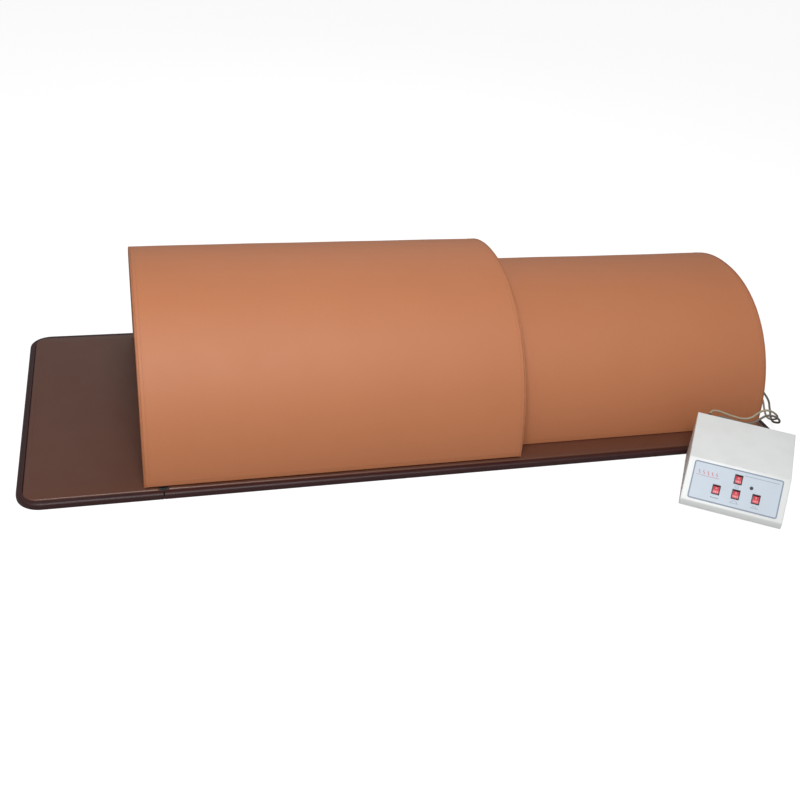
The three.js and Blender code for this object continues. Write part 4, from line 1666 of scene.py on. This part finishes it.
    def _rails(self) -> None:
        """The timber rails that the hoops and the skin are fixed to."""
        for side in ("front", "back"):
            node = f"{self.name}_rail_{side}"
            low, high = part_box(node)
            lifted = Vector((low.x, low.y, low.z + self.skin + 0.0003))
            narrow = 0.0009
            lifted.y += narrow
            high = Vector((high.x, high.y - narrow, high.z))
            rail = block(f"{node}_timber", lifted, high, 0.0012)
            place(rail, TIMBER, self.name, [node])

    def _socket(self) -> None:
        """The flush socket for the jumper lead, on the foot end."""
        low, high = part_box(f"{self.name}_inlet")
        middle = (low + high) / 2
        body = block(f"{self.name}_socket", (low.x - 0.0003, low.y, low.z), high, 0.0016)
        well = block(
            "well", (high.x - 0.006, middle.y - 0.0055, middle.z - 0.009),
            (high.x + 0.004, middle.y + 0.0055, middle.z + 0.009), 0.002,
        )
        cut(body, [well])
        place(body, BLACK, self.name, [f"{self.name}_inlet"])
        shape = bmesh.new()
        for offset in (-0.0045, 0.0, 0.0045):
            at = Matrix.Translation((high.x - 0.0065, middle.y, middle.z + offset))
            at = at @ Matrix.Rotation(math.pi / 2, 4, "Y")
            profile = [(0.0009, 0.0), (0.0009, 0.0042), (0.0006, 0.0049), (0.0002, 0.0052)]
            loft(shape, turned(profile, 10, at))
        place(from_bmesh(f"{self.name}_socket_pins", shape), STEEL, self.name)


# ---------------------------------------------------------------- control box


class Mark(Enum):
    """The plain signs on the label."""

    POWER = "power"
    MAT = "mat"
    LARGE_ARCH = "large_arch"
    SMALL_ARCH = "small_arch"
    WARMTH = "warmth"
    LAMP = "lamp"


@dataclass(frozen=True)
class Switch:
    """One rocker switch: its body's name, its place on the label and the sign under it."""

    body: str
    across: float
    up: float
    mark: Mark


SWITCHES = (
    Switch("power_switch", 0.002, 0.024, Mark.POWER),
    Switch("mat_switch", -0.044, -0.0135, Mark.MAT),
    Switch("large_dome_switch", 0.003, -0.0135, Mark.LARGE_ARCH),
    Switch("small_dome_switch", 0.051, -0.0135, Mark.SMALL_ARCH),
)


@dataclass
class ControlBox:
    """The slant-front control box: folded white shell, label, rockers, lamp and feet."""

    place_of_box: BoxPlace
    label: tuple[float, float] = (0.214, 0.097)
    label_face: float = 0.0011
    bezel: tuple[float, float] = (0.0195, 0.0245)
    bezel_face: float = 0.0034
    opening: tuple[float, float] = (0.015, 0.020)
    pivot: float = -0.004
    lean: float = math.radians(10)
    lamp: tuple[float, float] = (0.036, 0.011)
    lamp_radius: float = 0.0025
    sign_size: tuple[float, float] = (1.7, 1.4)

    def build(self) -> None:
        """Every piece of the box."""
        self._shell()
        self._label()
        for switch in SWITCHES:
            self._bezel(switch)
            self._rocker(switch)
        self._lamp()
        self._feet()
        self._screws()
        dress_node("control_base_plate", WHITE)
        dress_node("power_board", BOARD)
        dress_node("transformer", CORE)

    def _prism(self, name: str, wall: float, floor: float, roll: float) -> bpy.types.Object:
        """The box's side view, set in by a wall and drawn across it.

        Args:
            name: the object's name.
            wall: how far it is set in.
            floor: height of its underside.
            roll: radius of its edges.

        Returns:
            The prism.
        """
        p = self.place_of_box
        half_deep, crease_y = p.depth / 2, p.crease_depth - p.depth / 2
        lean = math.atan2(p.back - p.crease, p.depth - p.crease_depth)
        fold = math.tan((p.slope - lean) / 2)
        low_fold = math.tan((math.pi / 2 - p.slope) / 2)
        side = [
            (half_deep - wall, floor),
            (half_deep - wall, p.back - wall / math.cos(lean) - wall * math.tan(lean)),
            (
                crease_y + wall * (math.sin(lean) + fold * math.cos(lean)),
                p.crease - wall * (math.cos(lean) - fold * math.sin(lean)),
            ),
            (wall - half_deep, p.lip - wall * low_fold),
            (wall - half_deep, floor),
        ]
        half_wide = p.width / 2 - wall
        shape = bmesh.new()
        loft(shape, [[Vector((x, y, z)) for y, z in side] for x in (-half_wide, half_wide)])
        if roll > 0:
            bmesh.ops.recalc_face_normals(shape, faces=shape.faces)
            bmesh.ops.bevel(
                shape, geom=shape.edges[:], offset=roll, segments=4, profile=0.5,
                affect="EDGES", clamp_overlap=True,
            )
        bmesh.ops.transform(shape, matrix=p.square, verts=shape.verts)
        return from_bmesh(name, shape, 30)

    def _holes(self, collar: float) -> list[bpy.types.Object]:
        """Solids to cut the switch and lamp openings with, a little larger than what passes through."""
        panel = self.place_of_box.panel
        made = []
        for switch in SWITCHES:
            half_wide, half_high = self.opening[0] / 2 + collar, self.opening[1] / 2 + collar
            low = (switch.across - half_wide, switch.up - half_high, -0.009)
            high = (switch.across + half_wide, switch.up + half_high, 0.009)
            made.append(block(f"{switch.body}_hole", low, high, 0.0004, panel, 1))
        at = panel @ Matrix.Translation((*self.lamp, 0))
        radius = self.lamp_radius + 0.0002
        made.append(lofted("lamp_hole", turned([(radius, -0.009), (radius, 0.009)], 24, at)))
        return made

    def _shell(self) -> None:
        """The folded shell, hollow and open underneath."""
        shell = self._prism("control_box_case", 0.0, self.place_of_box.foot, 0.0022)
        hollow = self._prism("hollow", self.place_of_box.wall, self.place_of_box.foot - 0.002, 0.0)
        cut(shell, [hollow, *self._holes(0.0009)], 30)
        place(shell, WHITE, "mat", ["control_box_shell"])

    def _label(self) -> None:
        """The label film with its border and its plain signs."""
        panel = self.place_of_box.panel
        half_wide, half_high = self.label[0] / 2, self.label[1] / 2
        film = rounded_plate("control_label", half_wide, half_high, 0.006, 0.0001, self.label_face, panel)
        cut(film, self._holes(0.0009))
        place(film, PALE_BLUE, "mat", ["control_label_panel"])
        shape = bmesh.new()
        face = self.label_face
        frame_strip(shape, half_wide - 0.0004, half_high - 0.0004, 0.0056, 0.0031, face, panel)
        low, high = (0.014, 0.0368, face - 0.0001), (0.098, 0.0379, face + 0.00012)
        rounded_box(shape, low, high, 0.0001, panel, 1)
        place(from_bmesh("label_border", shape), SLATE, "mat")
        shape = bmesh.new()
        for switch in SWITCHES:
            low = 0.0184 if switch.mark is Mark.POWER else 0.0195
            at = panel @ Matrix.Translation((switch.across, switch.up - low, face))
            sign(shape, switch.mark, at @ Matrix.Diagonal((*self.sign_size, 1.0, 1.0)))
        lamp = panel @ Matrix.Translation((self.lamp[0], self.lamp[1] + 0.0065, face))
        sign(shape, Mark.LAMP, lamp)
        place(from_bmesh("label_signs", shape), SLATE, "mat")
        shape = bmesh.new()
        sign(shape, Mark.WARMTH, panel @ Matrix.Translation((-0.070, 0.022, face)))
        place(from_bmesh("label_warmth_sign", shape), ROSE, "mat")

    def _bezel(self, switch: Switch) -> None:
        """The dark frame round a rocker, with its collar through the panel."""
        at = self.place_of_box.panel @ Matrix.Translation((switch.across, switch.up, 0))
        half_wide, half_high = self.bezel[0] / 2, self.bezel[1] / 2
        collar = 0.0007
        open_wide, open_high = self.opening[0] / 2, self.opening[1] / 2
        shape = bmesh.new()
        rounded_box(
            shape,
            (-half_wide, -half_high, self.label_face + 0.0001),
            (half_wide, half_high, self.bezel_face), 0.0011, at,
        )
        lip = from_bmesh(f"{switch.body}_frame", shape)
        sleeve = block(
            "sleeve", (-open_wide - collar, -open_high - collar, -0.012),
            (open_wide + collar, open_high + collar, self.label_face + 0.0006), 0.0003, at, 1,
        )
        join = lip.modifiers.new("join", "BOOLEAN")
        join.operation = "UNION"
        join.solver = "EXACT"
        join.object = sleeve
        apply_modifiers(lip)
        bpy.data.objects.remove(sleeve)
        hole = block("hole", (-open_wide, -open_high, -0.014), (open_wide, open_high, 0.014), 0.0006, at, 2)
        cut(lip, [hole])
        place(lip, BLACK, "mat", [f"{switch.body}_bezel"])

    def _rocker(self, switch: Switch) -> None:
        """The red rocker, dished on both sides of its pivot, with its two marks."""
        at = self.place_of_box.panel @ Matrix.Translation((switch.across, switch.up, self.pivot))
        at = at @ Matrix.Rotation(self.lean, 4, "X")
        reach = self.opening[1] / 2
        valley = self.bezel_face - self.pivot - 0.0004
        end = 0.83 * reach
        top = valley + end * math.tan(self.lean)
        half_side = [(0.0, valley)]
        for i in range(1, 9):
            share = i / 8
            dish = 0.00045 * math.sin(math.pi * share)
            half_side.append((end * share, valley + (top - valley) * share - dish))
        half_side += [(y * reach, z * reach) for y, z in ((0.93, 0.2), (0.94, -0.1), (0.7, -0.6))]
        side = [(-y, z) for y, z in reversed(half_side[1:])] + half_side
        half_wide = self.opening[0] / 2 - 0.0003
        shape = bmesh.new()
        ease = 0.0004
        flat = half_wide - ease
        rings = []
        for x, shy in ((-half_wide, ease), (-flat, 0.0), (flat, 0.0), (half_wide, ease)):
            ring = [Vector((x, y * (1 - shy / reach), z - math.copysign(shy, z))) for y, z in side]
            rings.append([at @ point for point in ring])
        loft(shape, rings)
        rocker = from_bmesh(f"{switch.body}_key", shape, 30)
        place(rocker, RED, switch.body, [f"{switch.body}_rocker"])

        shape = bmesh.new()
        middle = 0.52 * end
        height = valley + (top - valley) * 0.52 - 0.0003
        tilt = math.atan2(top - valley, end)
        upper = at @ Matrix.Translation((0, middle, height)) @ Matrix.Rotation(tilt, 4, "X")
        lower = at @ Matrix.Translation((0, -middle, height)) @ Matrix.Rotation(-tilt, 4, "X")
        rounded_box(shape, (-0.00035, -0.0019, -0.0003), (0.00035, 0.0019, 0.00012), 0.0001, lower, 1)
        ring_strip(shape, 0.0019, 0.0006, 0.00012, upper)
        place(from_bmesh(f"{switch.body}_key_marks", shape), WHITE_MARK, switch.body)

    def _lamp(self) -> None:
        """The round indicator lamp and its collar."""
        at = self.place_of_box.panel @ Matrix.Translation((*self.lamp, 0))
        radius = self.lamp_radius
        dome = [(radius * 0.9, -0.006), (radius, -0.0055), (radius, 0.0018)]
        for i in range(1, 7):
            angle = math.pi / 2 * i / 7
            dome.append((radius * math.cos(angle), 0.0018 + 0.0021 * math.sin(angle)))
        place(lofted("lamp_lens", turned(dome, 24, at), angle=60), GREEN, "mat", ["power_lamp_lens"])
        collar = []
        for spread, height in ((0.3, 1.1), (1.9, 1.1), (1.9, 1.8), (1.5, 2.2), (0.3, 2.2)):
            collar.append((radius + spread / 1000, height / 1000))
        rings = []
        for i in range(28):
            turn = math.tau * i / 28
            rings.append([at @ Vector((r * math.cos(turn), r * math.sin(turn), z)) for r, z in collar])
        place(lofted("lamp_collar", rings, closed=True), BLACK, "mat")

    def _feet(self) -> None:
        """Four rubber feet."""
        for spot in ("front_left", "front_right", "back_left", "back_right"):
            low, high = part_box(f"foot_{spot}")
            middle, radius = (low + high) / 2, (high.x - low.x) / 2
            profile = [
                (radius - 0.0008, 0.0), (radius - 0.0002, 0.0003), (radius, 0.0009),
                (radius, high.z - 0.0004), (radius - 0.0004, high.z),
            ]
            at = Matrix.Translation((middle.x, middle.y, 0))
            foot = lofted(f"box_foot_{spot}", turned(profile, 28, at), angle=60)
            place(foot, RUBBER, "mat", [f"foot_{spot}"])

    def _screws(self) -> None:
        """Two screws in each side, where the shell is fixed to its base."""
        p = self.place_of_box
        for side, name in ((-1, "left"), (1, "right")):
            for y, where in ((-0.055, "front"), (0.070, "back")):
                turn = Matrix.Rotation(side * math.pi / 2, 4, "Y")
                at = p.square @ Matrix.Translation((side * p.width / 2, y, 0.012)) @ turn
                place(screw(f"case_screw_{name}_{where}", at), STEEL, "mat")


def rounded_ring(
    half_wide: float, half_high: float, corner: float, steps: int = 6
) -> list[tuple[float, float]]:
    """A rectangle with round corners, as a closed row of points.

    Args:
        half_wide: half its width.
        half_high: half its height.
        corner: radius of its corners.
        steps: facets to a corner.

    Returns:
        Its points, anticlockwise.
    """
    points = []
    for quarter, (sx, sy) in enumerate(((1, 1), (-1, 1), (-1, -1), (1, -1))):
        for i in range(steps + 1):
            angle = math.pi / 2 * (quarter + i / steps)
            x = sx * (half_wide - corner) + corner * math.cos(angle)
            y = sy * (half_high - corner) + corner * math.sin(angle)
            points.append((x, y))
    return points


def rounded_plate(
    name: str, half_wide: float, half_high: float, corner: float, low: float, high: float, at: Matrix
) -> bpy.types.Object:
    """A flat plate with round corners and a slightly eased edge.

    Args:
        name: the piece's name.
        half_wide: half its width.
        half_high: half its height.
        corner: radius of its corners.
        low: height of its underside.
        high: height of its face.
        at: its frame.

    Returns:
        The plate.
    """
    ease = 0.0002
    rings = []
    for inset, height in ((0.0, low), (0.0, high - ease), (ease, high)):
        ring = rounded_ring(half_wide - inset, half_high - inset, corner - inset)
        rings.append([at @ Vector((x, y, height)) for x, y in ring])
    return lofted(name, rings)


def frame_strip(
    shape: bmesh.types.BMesh, half_wide: float, half_high: float, corner: float,
    width: float, face: float, at: Matrix,
) -> None:
    """Add a printed line that runs round a rectangle with round corners.

    Args:
        shape: the bmesh to add to.
        half_wide: half the width of its outside.
        half_high: half the height of its outside.
        corner: radius of its corners.
        width: of the line.
        face: height of the surface that it lies on.
        at: its frame.
    """
    outer = rounded_ring(half_wide, half_high, corner)
    inner = rounded_ring(half_wide - width, half_high - width, max(0.0005, corner - width))
    rings = []
    for (x0, y0), (x1, y1) in zip(outer, inner):
        low, high = face - 0.0001, face + 0.00012
        ring = ((x0, y0, low), (x0, y0, high), (x1, y1, high), (x1, y1, low))
        rings.append([at @ Vector(p) for p in ring])
    loft(shape, rings, closed=True)


def ring_strip(
    shape: bmesh.types.BMesh, radius: float, width: float, height: float, at: Matrix, span: float = 1.0,
    start: float = 0.0, squat: float = 1.0,
) -> None:
    """Add a flat printed ring, or part of one.

    Args:
        shape: the bmesh to add to.
        radius: of its outside.
        width: of its line.
        height: of its face.
        at: its frame.
        span: share of the full turn.
        start: where it starts, as a share of the full turn.
        squat: height of the ring over its width.
    """
    steps = max(6, round(28 * span))
    closed = span >= 1.0
    rings = []
    for i in range(steps + (0 if closed else 1)):
        turn = math.tau * (start + span * i / steps)
        c, s = math.cos(turn), squat * math.sin(turn)
        near = radius - width
        rings.append([
            at @ Vector(p) for p in (
                (radius * c, radius * s, -0.0001), (radius * c, radius * s, height),
                (near * c, near * s, height), (near * c, near * s, -0.0001),
            )
        ])
    loft(shape, rings, closed)


def sign(shape: bmesh.types.BMesh, mark: Mark, at: Matrix) -> None:
    """Add one plain sign, drawn in raised ink.

    Args:
        shape: the bmesh to add to.
        mark: which sign.
        at: the frame of its middle.
    """
    line, ink = 0.0006, 0.00012

    def bar(low: tuple[float, float], high: tuple[float, float]) -> None:
        """A straight bar of ink."""
        rounded_box(shape, (*low, -0.0001), (*high, ink), 0.0001, at, 1)

    if mark is Mark.POWER:
        ring_strip(shape, 0.0026, line, ink, at, span=0.78, start=0.36)
        bar((-line / 2, 0.0004), (line / 2, 0.0032))
    elif mark is Mark.MAT:
        bar((-0.0058, -0.0014), (0.0058, -0.0002))
        bar((-0.0058, -0.0002), (-0.0046, 0.0010))
    elif mark in (Mark.LARGE_ARCH, Mark.SMALL_ARCH):
        radius = 0.0046 if mark is Mark.LARGE_ARCH else 0.0033
        foot = at @ Matrix.Translation((0, -0.0016, 0))
        ring_strip(shape, radius, line, ink, foot, span=0.5, squat=0.9)
        bar((-0.0058, -0.0024), (0.0058, -0.0018))
    elif mark is Mark.LAMP:
        for i in range(5):
            turn = math.pi * i / 4
            spoke = at @ Matrix.Translation((0, -0.002, 0)) @ Matrix.Rotation(turn, 4, "Z")
            rounded_box(shape, (0.0022, -0.00025, -0.0001), (0.0036, 0.00025, ink), 0.0001, spoke, 1)
    elif mark is Mark.WARMTH:
        for i in range(5):
            rings = []
            for j in range(17):
                y = -0.0052 + 0.0104 * j / 16
                x = (i - 2) * 0.0105 + 0.0014 * math.sin(math.tau * j / 16)
                wide = 0.0011 * (0.5 + 0.5 * math.sin(math.pi * j / 16))
                rings.append([
                    at @ Vector((x + across, y, up))
                    for across, up in ((-wide, -0.0001), (wide, -0.0001), (wide, ink), (-wide, ink))
                ])
            loft(shape, rings)
        bar((-0.028, -0.0086), (0.028, -0.0076))


# ---------------------------------------------------------------- studio


@dataclass(frozen=True)
class Studio:
    """Camera, soft light and a pale floor."""

    eye: tuple[float, float, float] = (-0.7170, -2.2980, 1.4511)
    yaw: float = -0.3062
    pitch: float = -0.5496
    roll: float = 0.0979
    lens: float = 44.93
    sky: float = 0.27

    def build(self) -> None:
        """Everything that isn't part of the object."""
        scene = bpy.context.scene
        scene.view_settings.view_transform = "Standard"
        self._camera(scene)
        self._world(scene)
        self._floor()
        self._light("key", (-0.75, -2.25, 3.05), (0.05, 0.0, 0.15), 1.6, 96.0)
        self._light("fill", (-2.2, -2.8, 1.4), (-0.2, 0.0, 0.2), 2.2, 5.0)
        self._light("back", (0.6, 2.8, 2.6), (0.0, 0.0, 0.2), 2.0, 8.0)

    def _camera(self, scene: bpy.types.Scene) -> None:
        """The camera, aimed by its yaw, pitch and roll."""
        ahead = Vector((
            -math.sin(self.yaw) * math.cos(self.pitch), math.cos(self.yaw) * math.cos(self.pitch),
            math.sin(self.pitch),
        ))
        level = Vector((math.cos(self.yaw), math.sin(self.yaw), 0))
        above = level.cross(ahead)
        right = math.cos(self.roll) * level + math.sin(self.roll) * above
        up = math.cos(self.roll) * above - math.sin(self.roll) * level
        data = bpy.data.cameras.new("camera")
        data.lens = self.lens
        data.sensor_width = 36.0
        data.clip_end = 50.0
        camera = bpy.data.objects.new("camera", data)
        turn = Matrix((right, up, -ahead)).transposed().to_4x4()
        camera.matrix_world = Matrix.Translation(self.eye) @ turn
        scene.collection.objects.link(camera)
        scene.camera = camera

    def _world(self, scene: bpy.types.Scene) -> None:
        """An even white sky."""
        world = bpy.data.worlds.new("sky")
        world.use_nodes = True
        sky = world.node_tree.nodes["Background"]
        sky.inputs["Color"].default_value = (1.0, 1.0, 1.0, 1.0)
        shading = Shading(world.node_tree)
        seen = shading.node("ShaderNodeLightPath").outputs["Is Camera Ray"]
        bright = shading.math("MULTIPLY", seen, 1.0 - self.sky)
        shading.tree.links.new(shading.math("ADD", bright, self.sky), sky.inputs["Strength"])
        scene.world = world

    def _floor(self) -> None:
        """A pale floor that reads as white and throws back only some of its light."""
        data = bpy.data.materials.new("floor_paper")
        data.use_nodes = True
        shading = Shading(data.node_tree)
        shader = data.node_tree.nodes["Principled BSDF"]
        shader.inputs["Base Color"].default_value = (0.34, 0.34, 0.34, 1.0)
        shader.inputs["Roughness"].default_value = 0.9
        seen = shading.node("ShaderNodeLightPath").outputs["Is Camera Ray"]
        glow = shading.node("ShaderNodeEmission", {"Color": (1.0, 1.0, 1.0, 1.0), "Strength": 0.84})
        both = shading.node("ShaderNodeAddShader")
        mixed = shading.node("ShaderNodeMixShader", {0: seen})
        shading.tree.links.new(shader.outputs[0], both.inputs[0])
        shading.tree.links.new(glow.outputs[0], both.inputs[1])
        shading.tree.links.new(shader.outputs[0], mixed.inputs[1])
        shading.tree.links.new(both.outputs[0], mixed.inputs[2])
        shading.tree.links.new(mixed.outputs[0], data.node_tree.nodes["Material Output"].inputs["Surface"])
        mesh = bpy.data.meshes.new("floor")
        reach = 40.0
        corners = [(x * reach, y * reach, -0.0003) for x, y in ((-1, -1), (1, -1), (1, 1), (-1, 1))]
        mesh.from_pydata(corners, [], [(0, 1, 2, 3)])
        mesh.materials.append(data)
        floor = bpy.data.objects.new("floor", mesh)
        bpy.context.scene.collection.objects.link(floor)

    def _light(self, name: str, at: Point, towards: Point, size: float, power: float) -> None:
        """A soft square lamp.

        Args:
            name: the lamp's name.
            at: where it hangs.
            towards: what it is aimed at.
            size: length of its sides.
            power: in watts.
        """
        data = bpy.data.lights.new(name, "AREA")
        data.size = size
        data.energy = power
        lamp = bpy.data.objects.new(name, data)
        ahead = Vector(towards) - Vector(at)
        lamp.matrix_world = Matrix.Translation(at) @ ahead.to_track_quat("-Z", "Y").to_matrix().to_4x4()
        bpy.context.scene.collection.objects.link(lamp)


def main() -> None:
    """Build everything in order: studio and leads first, then the object's sub-assemblies."""
    logging.basicConfig(level=logging.INFO, format="%(message)s")
    Studio().build()
    place_of_box = BoxPlace()
    Leads(place_of_box).build()
    Mat().build()
    Cover(Size.LARGE, bulge=2.12, seed=11).build()
    Cover(Size.SMALL, bulge=2.13, seed=23).build()
    ControlBox(place_of_box).build()


if __name__ == "__main__":
    main()
